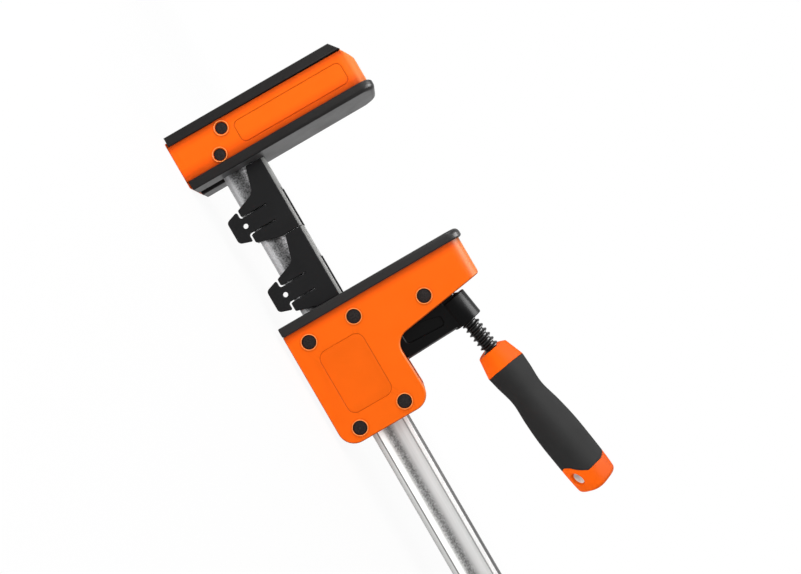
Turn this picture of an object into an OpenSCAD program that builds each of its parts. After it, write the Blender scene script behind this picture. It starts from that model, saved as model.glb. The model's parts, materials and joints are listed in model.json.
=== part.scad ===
// Parallel clamp: a steel bar with a fixed jaw, a sliding jaw driven by a leaning
// screw and two clip-on work supports. Millimetres, +Z up, bar along X, jaws reach up.
// z = 0 is the level of the fixed jaw's rear end, and x = 0 the middle of its length.

/* [Bar] */
// Length of the bar, from inside the fixed jaw to its free end
bar_length = 450; // [440:1:1300]
// Height of the bar's section, along the reach of the jaws
bar_height = 29; // [27:0.5:31]
// Thickness of the bar's section
bar_thick = 9.5; // [8:0.25:10.5]
// Height of the thick strip along each edge of the bar
bar_flange = 4.5; // [3.5:0.25:6.5]
// Thickness of the thin middle of the bar
bar_web = 5; // [4:0.25:7]
// Slope length of each channel wall
bar_slope = 6; // [1:0.25:7.5]
// Distance from the moving jaw's rear end to the bar
bar_from_rear = 18; // [16.5:0.5:20]

/* [Jaws] */
// Room that the two work supports leave between the clamping faces as drawn
opening_room = 1.4; // [0.9:0.1:90]
// Reach of the casings past the bar
throat_depth = 92.5; // [88:0.5:110]
// Width of the orange casings
jaw_width = 38; // [36:0.5:44]
// How far each pad stands proud of its casing, per side
pad_lip = 1; // [0.5:0.25:2]
// How far the clamping pads run past the casing tips
pad_overhang = 2.4; // [0:0.2:3]
// Thickness of the three pads
pad_thick = 7; // [5:0.25:8]
// Corner radius of the pads at the tip
pad_round = 12; // [6:0.5:16]
// Corner radius of the casings at the tip
tip_round = 11; // [6:0.5:14]
// Corner radius of the casings at the rear end
rear_round = 3; // [1.5:0.5:5]
// Wall of the casing shells
shell_wall = 3; // [2:0.25:4]
// How much further back the fixed jaw runs than the moving jaw
fixed_rear = 3.5; // [0:0.5:5]
// How far the fixed jaw's pads stop short of its casing's rear end
pad_rear = 2; // [0:0.5:4]
// Height of the fixed jaw's casing along the bar
fixed_height = 27; // [27:0.5:36]
// Size of the slanted corner at the fixed jaw's tip, along the bar
tip_chamfer_x = 8.3; // [4:0.1:12]
// Size of the slanted corner at the fixed jaw's tip, along the reach
tip_chamfer_z = 6.5; // [3:0.1:10]
// Height of the moving jaw's casing along the bar
moving_height = 88; // [86:0.5:110]
// Height of the moving jaw's beak at its root
beak_root = 41; // [39:0.5:46]
// Height of the moving jaw's beak at its tip
beak_tip = 27.4; // [24:0.2:32]
// Reach of the moving jaw's housing past the bar
housing_reach = 20; // [18:0.5:22]
// Corner radius of the moving jaw's housing
housing_round = 12; // [6:0.5:14]
// Radius of the notch under the beak
notch_round = 10; // [3:0.5:12]
// Distance from the fixed casing's outer face to its bare name panel
panel_from_out = 8.1; // [7:0.1:10]
// Distance from the fixed casing's inner face to its bare name panel
panel_from_in = 4.9; // [4:0.1:7]
// Distance from the moving jaw's core and low screws to its bare name panel
panel_margin = 7; // [5:0.1:9]
// Distance from the bar's rear edge down to the moving jaw's bare name panel
panel_drop = 2.5; // [0:0.1:5]
// Width of the cast cores inside the casings
core_width = 18; // [17:0.5:22]
// Depth of the moving jaw's core along the bar
core_depth = 15.5; // [14:0.5:17]

/* [Arm and spindle] */
// Width of the clamp arm
arm_width = 17; // [15:0.5:18]
// Distance from the clamp pad's seat to the arm's inner edge
arm_start = 33; // [31:0.5:34]
// Height of the arm where it goes round the bar
arm_height = 20.5; // [18:0.5:22]
// Thickness of the arm behind the bar
arm_heel = 8; // [6:0.5:9]
// Extra height of the arm just outside the housing
arm_shoulder = 3.7; // [1:0.1:5]
// Depth of the panel sunk in each side of the arm
arm_panel = 3; // [1:0.25:4]
// Outer diameter of the arm's threaded boss
boss_d = 22; // [20:0.5:24]
// Length of the arm's threaded boss
boss_length = 20.2; // [16:0.2:21]
// Diameter of the two hard pins that bite the bar
jam_pin_d = 4; // [3:0.25:5]
// Lean of the spindle to the bar, in degrees
spindle_tilt = 8.9; // [6:0.1:10]
// Distance from the bar to the centre of the spindle's ball end
spindle_offset = 65.3; // [62:0.5:70]
// Outer diameter of the spindle's thread
thread_d = 13; // [12:0.25:13.5]
// Root diameter of the spindle's thread
thread_root_d = 9.8; // [9:0.2:10.5]
// Pitch of the spindle's thread
thread_pitch = 4; // [3:0.25:5]
// Width of the thread's crests and roots
thread_flat = 1.2; // [0.8:0.1:1.3]
// Thread in sight between the arm's boss and the handle
thread_show = 26.8; // [25:0.2:28]
// Thread still in sight when the screw is fed all the way
thread_left = 5; // [4:0.2:8]
// Thread between the spindle's neck and the arm's boss
boss_gap = 2; // [1:0.25:3]
// Diameter of the spindle's ball end
ball_d = 10; // [9:0.25:11]
// Diameter of the neck between the thread and the ball
neck_d = 6.5; // [5:0.25:7]
// Neck in sight between the ball and the thread
neck_show = 2; // [1:0.25:3]
// Diameter of the swivel cup
cup_d = 17; // [15:0.5:17.5]
// Thickness of the cup's floor behind the ball
cup_floor = 1.5; // [1:0.1:2]
// Depth of the cup past the ball's centre
cup_mouth = 3; // [2:0.25:3.5]
// Thickness of the hard plate behind the swivel cup
seat_thick = 3.3; // [2:0.1:4]

/* [Handle] */
// Length of the handle's orange collar
collar_length = 15; // [12:0.5:20]
// Diameter of the collar beside the thread
collar_small_d = 21.2; // [18:0.2:24]
// Diameter of the collar beside the grip
collar_large_d = 27.6; // [24:0.2:30]
// Length of the soft grip
grip_length = 89; // [80:0.5:120]
// Diameter of the grip at its waist
waist_d = 25; // [22:0.2:28]
// Distance from the collar to the grip's waist
waist_at = 24.5; // [12:0.5:26]
// Diameter of the grip at its thickest
bulge_d = 31; // [28:0.2:36]
// Distance from the collar to the grip's thickest place
bulge_at = 66; // [44:0.5:75]
// Diameter of the handle where the grip meets the end
end_d = 29; // [24:0.2:31]
// Length of the orange end
end_length = 16; // [15:0.5:22]
// Radius of the rim at the handle's very end
end_round = 5; // [3:0.25:7]
// Diameter of the handle's stem inside the grip
stem_d = 17; // [15:0.5:19]
// Diameter of the spindle's shank inside the handle
shank_d = 10; // [8:0.25:11]
// Length of the spindle's shank inside the handle
shank_length = 60; // [40:1:80]
// Diameter of the hanging hole in the end
hang_d = 10; // [6:0.25:11]
// Distance from the handle's end to the middle of the hanging hole
hang_at = 10.2; // [7.5:0.1:12]
// Turn of the hanging hole round the handle, in degrees
hang_turn = 35; // [0:1:90]
// Diameter of the pin that locks the spindle in the handle
lock_pin_d = 3; // [2:0.25:4]

/* [Fasteners] */
// Shank diameter of the fixed jaw's bolts
bolt_d = 6; // [5:0.25:7]
// Head diameter of the fixed jaw's bolts
bolt_head_d = 8.2; // [7.8:0.1:9]
// Shank diameter of the moving jaw's screws
screw_d = 3.6; // [3:0.1:3.8]
// Head diameter of the moving jaw's screws
screw_head_d = 9.4; // [8:0.1:10]
// Thickness of all the heads
head_thick = 2.6; // [2:0.1:3]
// Distance from the fixed casing's outer face to the first bolt
bolt_from_out = 6.6; // [5.5:0.1:9]
// Distance from the fixed casing's inner face to the second bolt
bolt_from_in = 5.2; // [5.2:0.1:8]
// Distance from the bar's rear edge to the first bolt
bolt_rise_out = 17.8; // [16:0.2:21]
// Distance from the bar's rear edge to the second bolt
bolt_rise_in = 7.9; // [6:0.1:11]
// Wall left between the bar's window and each screw beside it
screw_land = 1.6; // [1:0.1:2.5]
// Distance from the moving core's lower face to its two screws
screw_from_core = 4.4; // [3:0.1:6]
// Distance from the ball's centre to the beak's screw, towards the pad
beak_screw_back = 1.3; // [0:0.1:3]
// Width of the raised ring round each head
ring_w = 0.9; // [0.5:0.1:1.5]
// Height of the raised ring round each head
ring_h = 0.5; // [0.2:0.1:1]

/* [Work supports] */
// Length of each support along the bar
support_length = 54.8; // [52:0.2:64]
// Wall of the supports
support_wall = 2.2; // [1.5:0.1:3]
// Height of the support's narrow end, from the bar's throat edge
narrow_end = 11.1; // [10:0.1:14]
// Distance from the support's start to its shoulder
shoulder_at = 18.7; // [15:0.1:20]
// Height of the support at its shoulder, from the bar's throat edge
shoulder_h = 16.6; // [15:0.1:20]
// Radius of the shoulder
shoulder_round = 6; // [3:0.5:8]
// Width of the tongue between the two slits
tongue_w = 11.6; // [9:0.2:14]
// Distance from the support's start to the middle of its tongue
tongue_at = 36.4; // [34:0.2:37]
// Width of the slits beside the tongue
slit_w = 1.4; // [0.8:0.1:2]
// Length of the slits, from the bar's rear edge
slit_l = 17; // [12:0.5:20]
// Length of the cross tab along its inner edge
tab_l = 23.4; // [20:0.2:26]
// Length of the cross tab along its outer edge
tab_out_l = 17; // [12:0.2:19]
// Height of the cross tab
tab_h = 8.6; // [7:0.2:9]
// Distance from the bar's rear edge to the outer edge of the cross tab
tab_reach = 12.5; // [12:0.1:14]
// Diameter of the hole in the tongue
tab_hole_d = 4.4; // [3:0.1:5]
// Distance from the bar's rear edge to the hole in the tongue
tab_hole_at = 2.9; // [2.5:0.1:4]
// Width of the first finger that hooks the bar
finger_a_w = 4.8; // [4:0.2:6]
// Width of the second finger that hooks the bar
finger_b_w = 6.4; // [5:0.2:7]
// How far the front wall stops short of the bar's throat edge
front_short = 1.2; // [0:0.1:2]
// How far the back wall stands past the bar's throat edge
back_lip = 0.8; // [0.4:0.1:1.5]
// Height of the rib that rides in the bar's channel
rib_h = 2.6; // [2:0.2:3]

/* [Bar end] */
// Length of the cap on the bar's free end
end_cap_length = 15; // [12:0.5:20]
// Wall of the cap
end_cap_wall = 2.5; // [2:0.25:3]
// Diameter of the cap's pin
end_pin_d = 4; // [3:0.25:5]

/* [Fits] */
// Clearance of the pieces that slide on the bar
slide_gap = 0.3; // [0.2:0.05:0.5]
// Clearance of the arm round the bar and in the casing
arm_gap = 0.6; // [0.5:0.05:1]
// Clearance between pieces that are fastened together
seat_gap = 0.1; // [0.05:0.05:0.2]
// Clearance of the ball in its cup
ball_gap = 0.3; // [0.2:0.05:0.4]

/* [Hidden] */
$fn = 48;
orange = [1.0, 0.44, 0.10];
charcoal = [0.19, 0.20, 0.21];
black = [0.06, 0.06, 0.06];
steel = [0.78, 0.79, 0.80];
// Overlap that makes a cut run clear through a face
cut = 1;

// Levels along Z, from the rear ends of the jaws up to their tips
rear_z = fixed_rear;
bar_z0 = rear_z + bar_from_rear;
bar_z1 = bar_z0 + bar_height;
bar_zm = (bar_z0 + bar_z1) / 2;
tip_z = bar_z1 + throat_depth;
pad_z = tip_z + pad_overhang;
housing_z = bar_z1 + housing_reach;
ball_z = bar_z1 + spindle_offset;
half_w = jaw_width / 2;
pad_half = half_w + pad_lip;
core_half = core_width / 2;
arm_half = arm_width / 2;
arm_slot = arm_half + arm_gap;

// Gap between the clamping faces as drawn, and between the supports and their neighbours
opening = 2 * support_length + opening_room;
support_gap = opening_room / 3;

// Places along X, from the fixed clamping face
fixed_x1 = -pad_thick;
fixed_x0 = fixed_x1 - fixed_height;
spreader_x = fixed_x0 - pad_thick;
bar_x0 = fixed_x0 + seat_gap;
bar_x1 = bar_x0 + bar_length;
cap_x1 = bar_x1 + end_cap_wall;
jaw_x = opening + pad_thick;
middle_x = (spreader_x + cap_x1) / 2;

// Places in the moving jaw, from the clamp pad's seat
seat_x = core_depth + seat_thick;
ball_x = seat_x + cup_floor + ball_gap + ball_d / 2;
neck_length = ball_d / 2 + neck_show;
// Travel of the arm along the spindle, and the creep of the cup on its seat that goes with it
feed_max = thread_show - thread_left;
creep = feed_max * sin(spindle_tilt);
// The axis runs from the ball, and the collar starts where the thread in sight ends
collar_at = neck_length + boss_gap + boss_length + thread_show;
arm_end = arm_start + arm_height;
arm_rear = bar_z0 - arm_gap - arm_heel;
arm_out_z = housing_z + arm_gap;
guide_x1 = moving_height - shell_wall - seat_gap;
guide_x0 = guide_x1 - shell_wall;
guide_inset = housing_round;
screw_low_x = guide_x0 - slide_gap - screw_d / 2;
screw_high_x = core_depth - screw_from_core;
screw_rear_z = bar_z0 - slide_gap - screw_land - screw_d / 2;
screw_throat_z = bar_z1 + slide_gap + screw_land + screw_d / 2;
beak_screw_z = ball_z - cup_d / 2 - creep - arm_gap - screw_d / 2;
screw_places = [[screw_high_x, screw_rear_z], [screw_high_x, screw_throat_z],
                [ball_x - beak_screw_back, beak_screw_z],
                [screw_low_x, screw_throat_z], [screw_low_x, screw_rear_z]];
bolt_places = [[fixed_x0 + bolt_from_out, bar_z0 + bolt_rise_out],
               [fixed_x1 - bolt_from_in, bar_z0 + bolt_rise_in]];
pocket_y = half_w - shell_wall;
// Wall of the shells' bosses round the bolts and screws
boss_wall = 1.8;
// Small radius of edges that only need their corners broken
edge_round = 1;

function unit(v) = v / norm(v);
function turn(a) = a > 180 ? a - 360 : a < -180 ? a + 360 : a;
// Arc of n steps that rounds corner b, between its neighbours a and c; b[2] is the radius
function corner_arc(a, b, c, n) =
    let (p = [b[0], b[1]],
         u = unit([a[0], a[1]] - p),
         v = unit([c[0], c[1]] - p),
         half = acos(u * v) / 2,
         t = b[2] / tan(half),
         o = p + unit(u + v) * b[2] / sin(half),
         s = p + u * t - o,
         e = p + v * t - o,
         a0 = atan2(s[1], s[0]),
         da = turn(atan2(e[1], e[0]) - a0))
    [for (k = [0:n]) o + b[2] * [cos(a0 + da * k / n), sin(a0 + da * k / n)]];
// Outline whose corners are [x, y, radius]
function rounded(pts, n = 7) =
    let (m = len(pts))
    [for (i = [0:m - 1])
        each (pts[i][2] > 0 ? corner_arc(pts[(i + m - 1) % m], pts[i], pts[(i + 1) % m], n)
                            : [[pts[i][0], pts[i][1]]])];

module place() { translate([-middle_x, 0, 0]) children(); }
module at_jaw() { place() translate([jaw_x, 0, 0]) children(); }
// Outline in X and Z, from y0 to y1
module slab(y0, y1) { translate([0, y1, 0]) rotate([90, 0, 0]) linear_extrude(y1 - y0) children(); }
// Outline in Y and Z, from x0 to x1
module along_x(x0, x1) { translate([x0, 0, 0]) rotate([90, 0, 90]) linear_extrude(x1 - x0) children(); }
module rod_y(x, z, r, y0, y1) { translate([x, y1, z]) rotate([90, 0, 0]) cylinder(r = r, h = y1 - y0); }
module rod_x(x0, x1, z, r) { translate([x0, 0, z]) rotate([0, 90, 0]) cylinder(r = r, h = x1 - x0); }
// Frame of the spindle: origin at the ball, +Z along the axis towards the handle
module on_axis() { at_jaw() translate([ball_x, 0, ball_z]) rotate([0, 90 - spindle_tilt, 0]) children(); }
module bar_window(x0, x1, gap) {
    along_x(x0, x1) translate([-bar_thick / 2 - gap, bar_z0 - gap])
        square([bar_thick + 2 * gap, bar_height + 2 * gap]);
}
// Outline in Y and Z of a jaw seen along the bar, rounded at the tip and the rear
module plan(half, top, r_tip, r_rear, base = 0) {
    polygon(rounded([[-half, base, r_rear], [half, base, r_rear], [half, top, r_tip], [-half, top, r_tip]]));
}

module bar_section() {
    h = bar_height / 2;
    t = bar_thick / 2;
    w = bar_web / 2;
    f = h - bar_flange;
    e = 0.8;
    side = [[t - e, h], [t, h - e], [t, f], [w, f - bar_slope]];
    right = concat(side, [for (i = [3:-1:0]) [side[i][0], -side[i][1]]]);
    polygon(concat(right, [for (p = right) -p]));
}
module bar() {
    color(steel) place() difference() {
        along_x(bar_x0, bar_x1) translate([0, bar_zm]) bar_section();
        for (p = bolt_places)
            rod_y(p[0], p[1], bolt_d / 2 + seat_gap, -bar_thick, bar_thick);
        rod_y(bar_x1 - end_cap_length / 2, bar_zm, end_pin_d / 2 + seat_gap, -bar_thick, bar_thick);
    }
}

// Pegs that locate a pad on its core, and their holes with a gap
peg_d = 6;
peg_l = 4;
peg_from_bar = 14;
peg_from_tip = 22;
peg_places = [bar_z1 + peg_from_bar, tip_z - peg_from_tip];
core_round = 2;
module pegs(x0, x1, gap = 0) {
    for (z = peg_places)
        rod_x(x0, x1, z, peg_d / 2 + gap);
}
module fixed_jaw_core() {
    color(steel) place() difference() {
        along_x(fixed_x0 + seat_gap, fixed_x1 - seat_gap)
            plan(core_half, tip_z - shell_wall - tip_chamfer_z - seat_gap, core_round, core_round,
                 shell_wall + seat_gap);
        bar_window(fixed_x0 - cut, fixed_x1 + cut, seat_gap);
        for (p = bolt_places)
            rod_y(p[0], p[1], bolt_d / 2 + seat_gap, -jaw_width, jaw_width);
        pegs(fixed_x1 - peg_l - seat_gap, fixed_x1 + cut, seat_gap);
        pegs(fixed_x0 - cut, fixed_x0 + peg_l + seat_gap, seat_gap);
    }
}

fixed_outline = [[fixed_x0, 0], [fixed_x1, 0], [fixed_x1, tip_z],
                 [fixed_x0 + tip_chamfer_x, tip_z], [fixed_x0, tip_z - tip_chamfer_z]];
// Thin line round the bare name panel, sunk in the front shell
line_w = 0.5;
line_d = 0.4;
panel_round = 4;
module panel_line(x0, x1, z0, z1, r) {
    slab(-half_w - cut, -half_w + line_d) difference() {
        polygon(rounded([[x0, z0, r], [x1, z0, r], [x1, z1, r], [x0, z1, r]]));
        polygon(rounded([[x0 + line_w, z0 + line_w, r - line_w], [x1 - line_w, z0 + line_w, r - line_w],
                         [x1 - line_w, z1 - line_w, r - line_w], [x0 + line_w, z1 - line_w, r - line_w]]));
    }
}
module ring(p, head_d) {
    rod_y(p[0], p[1], head_d / 2 + seat_gap + ring_w, -half_w - ring_h, -half_w + cut);
}
// Stepped hole for one head and shank through a front shell
module head_hole(p, head_d, shank_d) {
    rod_y(p[0], p[1], head_d / 2 + seat_gap, -half_w - ring_h - cut, -half_w + head_thick);
    rod_y(p[0], p[1], shank_d / 2 + seat_gap, -half_w, cut);
}
module fixed_half() {
    difference() {
        intersection() {
            slab(-half_w, 0) polygon(fixed_outline);
            along_x(fixed_x0, fixed_x1) plan(half_w, tip_z, tip_round, rear_round);
        }
        intersection() {
            slab(-pocket_y, cut) polygon([[fixed_x0 - cut, shell_wall], [fixed_x1 + cut, shell_wall],
                [fixed_x1 + cut, tip_z - shell_wall],
                [fixed_x0 + tip_chamfer_x, tip_z - shell_wall],
                [fixed_x0 - cut, tip_z - shell_wall - tip_chamfer_z]]);
            along_x(fixed_x0 - cut, fixed_x1 + cut)
                plan(pocket_y, tip_z - shell_wall, tip_round - shell_wall, edge_round, shell_wall);
        }
    }
    for (p = bolt_places)
        rod_y(p[0], p[1], bolt_head_d / 2 + edge_round, -pocket_y - cut, -core_half - seat_gap);
}
module fixed_front_shell() {
    color(orange) place() difference() {
        union() {
            fixed_half();
            for (p = bolt_places)
                ring(p, bolt_head_d);
        }
        for (p = bolt_places)
            head_hole(p, bolt_head_d, bolt_d);
        panel_line(fixed_x0 + panel_from_out, fixed_x1 - panel_from_in,
                   bar_z1, tip_z - tip_round, panel_round);
    }
}
module fixed_back_shell() {
    color(orange) place() mirror([0, 1, 0]) difference() {
        fixed_half();
        for (p = bolt_places)
            head_hole(p, bolt_head_d, bolt_d);
    }
}
module fixed_jaw_bolts() {
    color(charcoal) place() for (p = bolt_places) {
        rod_y(p[0], p[1], bolt_head_d / 2, -half_w - ring_h / 2, -half_w + head_thick);
        rod_y(p[0], p[1], bolt_d / 2, -half_w + head_thick - cut, half_w - head_thick);
    }
}
module fixed_jaw_nuts() {
    color(charcoal) place() for (p = bolt_places)
        rod_y(p[0], p[1], bolt_head_d / 2, half_w - head_thick, half_w);
}

// Plate with the plan outline, a slot for the bar from its rear end, and two pegs
module clamp_pad(x0, x1, peg_x0, peg_x1, base) {
    difference() {
        along_x(x0, x1) plan(pad_half, pad_z, pad_round, edge_round, base);
        along_x(x0 - cut, x1 + cut) translate([-bar_thick / 2 - slide_gap, -cut])
            square([bar_thick + 2 * slide_gap, bar_z1 + slide_gap + cut]);
    }
    pegs(peg_x0, peg_x1);
}
module fixed_clamp_pad() {
    color(charcoal) place() clamp_pad(fixed_x1, 0, fixed_x1 - peg_l, fixed_x1 + cut, pad_rear);
}
module spreader_pad() {
    color(charcoal) place() {
        intersection() {
            along_x(spreader_x, fixed_x0) plan(pad_half, pad_z, pad_round, edge_round, pad_rear);
            slab(-jaw_width, jaw_width) polygon([[spreader_x, 0], [fixed_x0, 0],
                [fixed_x0, tip_z - tip_chamfer_z],
                [spreader_x, tip_z - tip_chamfer_z - pad_thick * tip_chamfer_z / tip_chamfer_x]]);
        }
        pegs(fixed_x0 - cut, fixed_x0 + peg_l);
    }
}

module bar_end_cap() {
    gap = end_cap_wall + seat_gap;
    color(black) place() difference() {
        along_x(bar_x1 - end_cap_length, cap_x1)
            plan(bar_thick / 2 + gap, bar_z1 + gap, 2 * edge_round, 2 * edge_round, bar_z0 - gap);
        bar_window(bar_x1 - end_cap_length - cut, bar_x1, seat_gap);
        rod_y(bar_x1 - end_cap_length / 2, bar_zm, end_pin_d / 2 + seat_gap, -jaw_width, jaw_width);
    }
}
module end_cap_pin() {
    y = bar_thick / 2 + end_cap_wall;
    color(steel) place() rod_y(bar_x1 - end_cap_length / 2, bar_zm, end_pin_d / 2, -y, y);
}

// Room above the cup at the end of the arm's slot
slot_room = 1.5;
// Lower edge of the beak at height z
function beak_x(z) = beak_root + (beak_tip - beak_root) * (z - housing_z) / (tip_z - housing_z);
moving_outline = rounded([[0, rear_z, 0], [moving_height, rear_z, housing_round],
                          [moving_height, housing_z, housing_round], [beak_root, housing_z, notch_round],
                          [beak_tip, tip_z, 2 * edge_round], [0, tip_z, 0]]);
moving_pocket = rounded([[-cut, rear_z + shell_wall, 0],
                         [moving_height - shell_wall, rear_z + shell_wall, housing_round - shell_wall],
                         [moving_height - shell_wall, housing_z - shell_wall, housing_round - shell_wall],
                         [beak_root - shell_wall, housing_z - shell_wall, notch_round],
                         [beak_tip - shell_wall, tip_z - shell_wall, 0], [-cut, tip_z - shell_wall, 0]]);
slot_top = ball_z + cup_d / 2 + arm_gap + slot_room;
module arm_slot_cut() {
    near = beak_x(slot_top) - 2 * shell_wall;
    far = arm_end + feed_max + arm_gap;
    low = housing_z - 2 * shell_wall;
    slab(-arm_slot, arm_slot) {
        translate([near, low]) square([far - near, housing_z + cut - low]);
        translate([near, low]) square([beak_root + notch_round - near, slot_top - low]);
    }
}
module moving_half() {
    difference() {
        intersection() {
            slab(-half_w, 0) polygon(moving_outline);
            along_x(0, moving_height) plan(half_w, tip_z, tip_round, rear_round, rear_z);
        }
        intersection() {
            slab(-pocket_y, cut) polygon(moving_pocket);
            along_x(-cut, moving_height)
                plan(pocket_y, tip_z - shell_wall, tip_round - shell_wall, edge_round,
                     rear_z + shell_wall);
        }
        arm_slot_cut();
        bar_window(moving_height - shell_wall - cut, moving_height + cut, slide_gap);
    }
    for (p = screw_places)
        rod_y(p[0], p[1], screw_d / 2 + boss_wall, -pocket_y - cut, -core_half - seat_gap);
}
module jaw_front_shell() {
    color(orange) at_jaw() difference() {
        union() {
            moving_half();
            for (p = screw_places)
                ring(p, screw_head_d);
        }
        for (p = screw_places)
            head_hole(p, screw_head_d, screw_d);
        panel_line(core_depth + panel_margin, screw_low_x - screw_head_d / 2 - panel_margin,
                   bar_z0 - panel_drop, bar_z1, panel_round);
    }
}
module jaw_back_shell() {
    color(orange) at_jaw() mirror([0, 1, 0]) difference() {
        moving_half();
        for (p = screw_places)
            rod_y(p[0], p[1], screw_d / 2 + seat_gap, -pocket_y - cut, cut);
    }
}
module jaw_screws() {
    color(charcoal) at_jaw() for (p = screw_places) {
        rod_y(p[0], p[1], screw_head_d / 2, -half_w - ring_h / 2, -half_w + head_thick);
        rod_y(p[0], p[1], screw_d / 2, -half_w + head_thick - cut, pocket_y);
    }
}
module jaw_core() {
    color(steel) at_jaw() difference() {
        along_x(seat_gap, core_depth)
            plan(core_half, tip_z - shell_wall - seat_gap, core_round, core_round,
                 rear_z + shell_wall + seat_gap);
        bar_window(-cut, core_depth + cut, slide_gap);
        for (p = [screw_places[0], screw_places[1]])
            rod_y(p[0], p[1], screw_d / 2 + seat_gap, -jaw_width, jaw_width);
        pegs(-cut, peg_l + seat_gap, seat_gap);
        rod_x(core_depth - rivet_l, core_depth + cut, rivet_z, rivet_d / 2 + seat_gap);
    }
}
module jaw_clamp_pad() {
    color(charcoal) at_jaw() clamp_pad(-pad_thick, 0, -cut, peg_l, rear_z);
}
module lower_guide() {
    color(black) at_jaw() difference() {
        along_x(guide_x0, guide_x1)
            plan(core_half, housing_z - guide_inset, edge_round, edge_round, rear_z + guide_inset);
        bar_window(guide_x0 - cut, guide_x1 + cut, slide_gap);
    }
}
module thrust_seat() {
    color(steel) at_jaw() along_x(core_depth, seat_x)
        translate([-core_half, ball_z - cup_d / 2 - creep - edge_round])
            square([core_width, cup_d + creep + 2 * edge_round]);
}

// Leaf spring: a tab riveted under the core, then a bow that rubs the bar's rear edge
leaf_t = 0.8;
leaf_w = 8;
leaf_l = 14;
rivet_d = 3;
rivet_l = 5;
rivet_head = 1;
leaf_tab = 10;
rivet_z = bar_z0 - leaf_tab + rivet_head;
leaf_x = core_depth + leaf_t;
leaf_top = bar_z0 - slide_gap;
leaf_sag = 2;
function leaf_z(k) = leaf_top - leaf_t - leaf_sag + leaf_sag * sin(180 * k);
module brake_spring() {
    steps = 10;
    low = [for (i = [0:steps]) [leaf_x + leaf_l * i / steps, leaf_z(i / steps)]];
    bow = concat(low, [for (i = [steps:-1:0]) low[i] + [0, leaf_t]]);
    color(steel) at_jaw() difference() {
        union() {
            slab(-leaf_w / 2, leaf_w / 2) polygon(bow);
            along_x(core_depth, leaf_x) translate([-leaf_w / 2, leaf_z(0) + leaf_t - leaf_tab])
                square([leaf_w, leaf_tab]);
        }
        rod_x(core_depth - cut, leaf_x + cut, rivet_z, rivet_d / 2 + seat_gap);
    }
}
module brake_spring_rivet() {
    color(steel) at_jaw() {
        rod_x(core_depth - rivet_l + seat_gap, leaf_x, rivet_z, rivet_d / 2);
        rod_x(leaf_x, leaf_x + rivet_head, rivet_z, rivet_d / 2 + rivet_head);
    }
}

jam_pins_at = [[arm_start + jam_pin_d, bar_z1 + slide_gap + jam_pin_d / 2],
               [arm_end - jam_pin_d, bar_z0 - slide_gap - jam_pin_d / 2]];
boss_start = neck_length + boss_gap;
boss_end = boss_start + boss_length;
// How far inside the boss's ends the arm's flat sides run into it
arm_blend = 0.6;
// Point of the spindle's axis at a distance from the ball, in X and Z of the moving jaw
function axis_point(s) = [ball_x, ball_z] + s * [cos(spindle_tilt), sin(spindle_tilt)];
arm_outline = [[arm_start, arm_rear], [arm_end, arm_rear], [arm_end, arm_out_z],
               [arm_end + arm_shoulder, arm_out_z], axis_point(boss_end - arm_blend),
               axis_point(boss_start + arm_blend), [arm_start, ball_z - boss_d / 2]];
module arm_panel_cut() {
    inset = 5;
    r = 2;
    z0 = arm_out_z + inset;
    z1 = ball_z - boss_d / 2 - inset;
    polygon(rounded([[arm_start + inset, z0, r], [arm_end - inset + arm_shoulder / 2, z0, r],
                     [arm_end - inset, z1, r], [arm_start + inset, z1, r]]));
}
module clamp_arm() {
    color(black) difference() {
        union() {
            at_jaw() slab(-arm_half, arm_half) polygon(arm_outline);
            on_axis() translate([0, 0, boss_start]) cylinder(d = boss_d, h = boss_length);
        }
        at_jaw() bar_window(arm_start - cut, arm_end + cut, arm_gap);
        at_jaw() for (p = jam_pins_at)
            rod_y(p[0], p[1], jam_pin_d / 2, -jaw_width, jaw_width);
        at_jaw() slab(-jaw_width, -arm_half + arm_panel) arm_panel_cut();
        at_jaw() slab(arm_half - arm_panel, jaw_width) arm_panel_cut();
        on_axis() cylinder(d = thread_d + 2 * slide_gap, h = boss_end + arm_height);
    }
}
module jam_pins() {
    color(steel) at_jaw() for (p = jam_pins_at)
        rod_y(p[0], p[1], jam_pin_d / 2, -arm_half, arm_half);
}

module thrust_cup() {
    color(steel) at_jaw() difference() {
        rod_x(seat_x, ball_x + cup_mouth, ball_z, cup_d / 2);
        translate([ball_x, 0, ball_z]) sphere(r = ball_d / 2 + ball_gap);
    }
}
module spindle() {
    start = neck_length;
    turns = floor((collar_at - start) / thread_pitch);
    flat = thread_flat / 2;
    // Profile of the thread, drawn as one ridge for each turn
    ridges = [for (i = [0:turns - 1]) let (z = collar_at - (turns - i) * thread_pitch)
        each [[thread_root_d / 2, z + flat], [thread_d / 2, z + thread_pitch / 2 - flat],
              [thread_d / 2, z + thread_pitch / 2 + flat], [thread_root_d / 2, z + thread_pitch - flat]]];
    color(black) on_axis() difference() {
        union() {
            sphere(d = ball_d);
            cylinder(d = neck_d, h = start + cut);
            rotate_extrude() polygon(concat([[0, start]], [[thread_root_d / 2, start]], ridges,
                [[thread_root_d / 2, collar_at], [0, collar_at]]));
            translate([0, 0, collar_at - cut]) cylinder(d = shank_d, h = shank_length + cut);
        }
        lock_hole();
    }
}

grip_at = collar_at + collar_length;
end_at = grip_at + grip_length;
lock_at = grip_at + waist_at;
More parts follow.
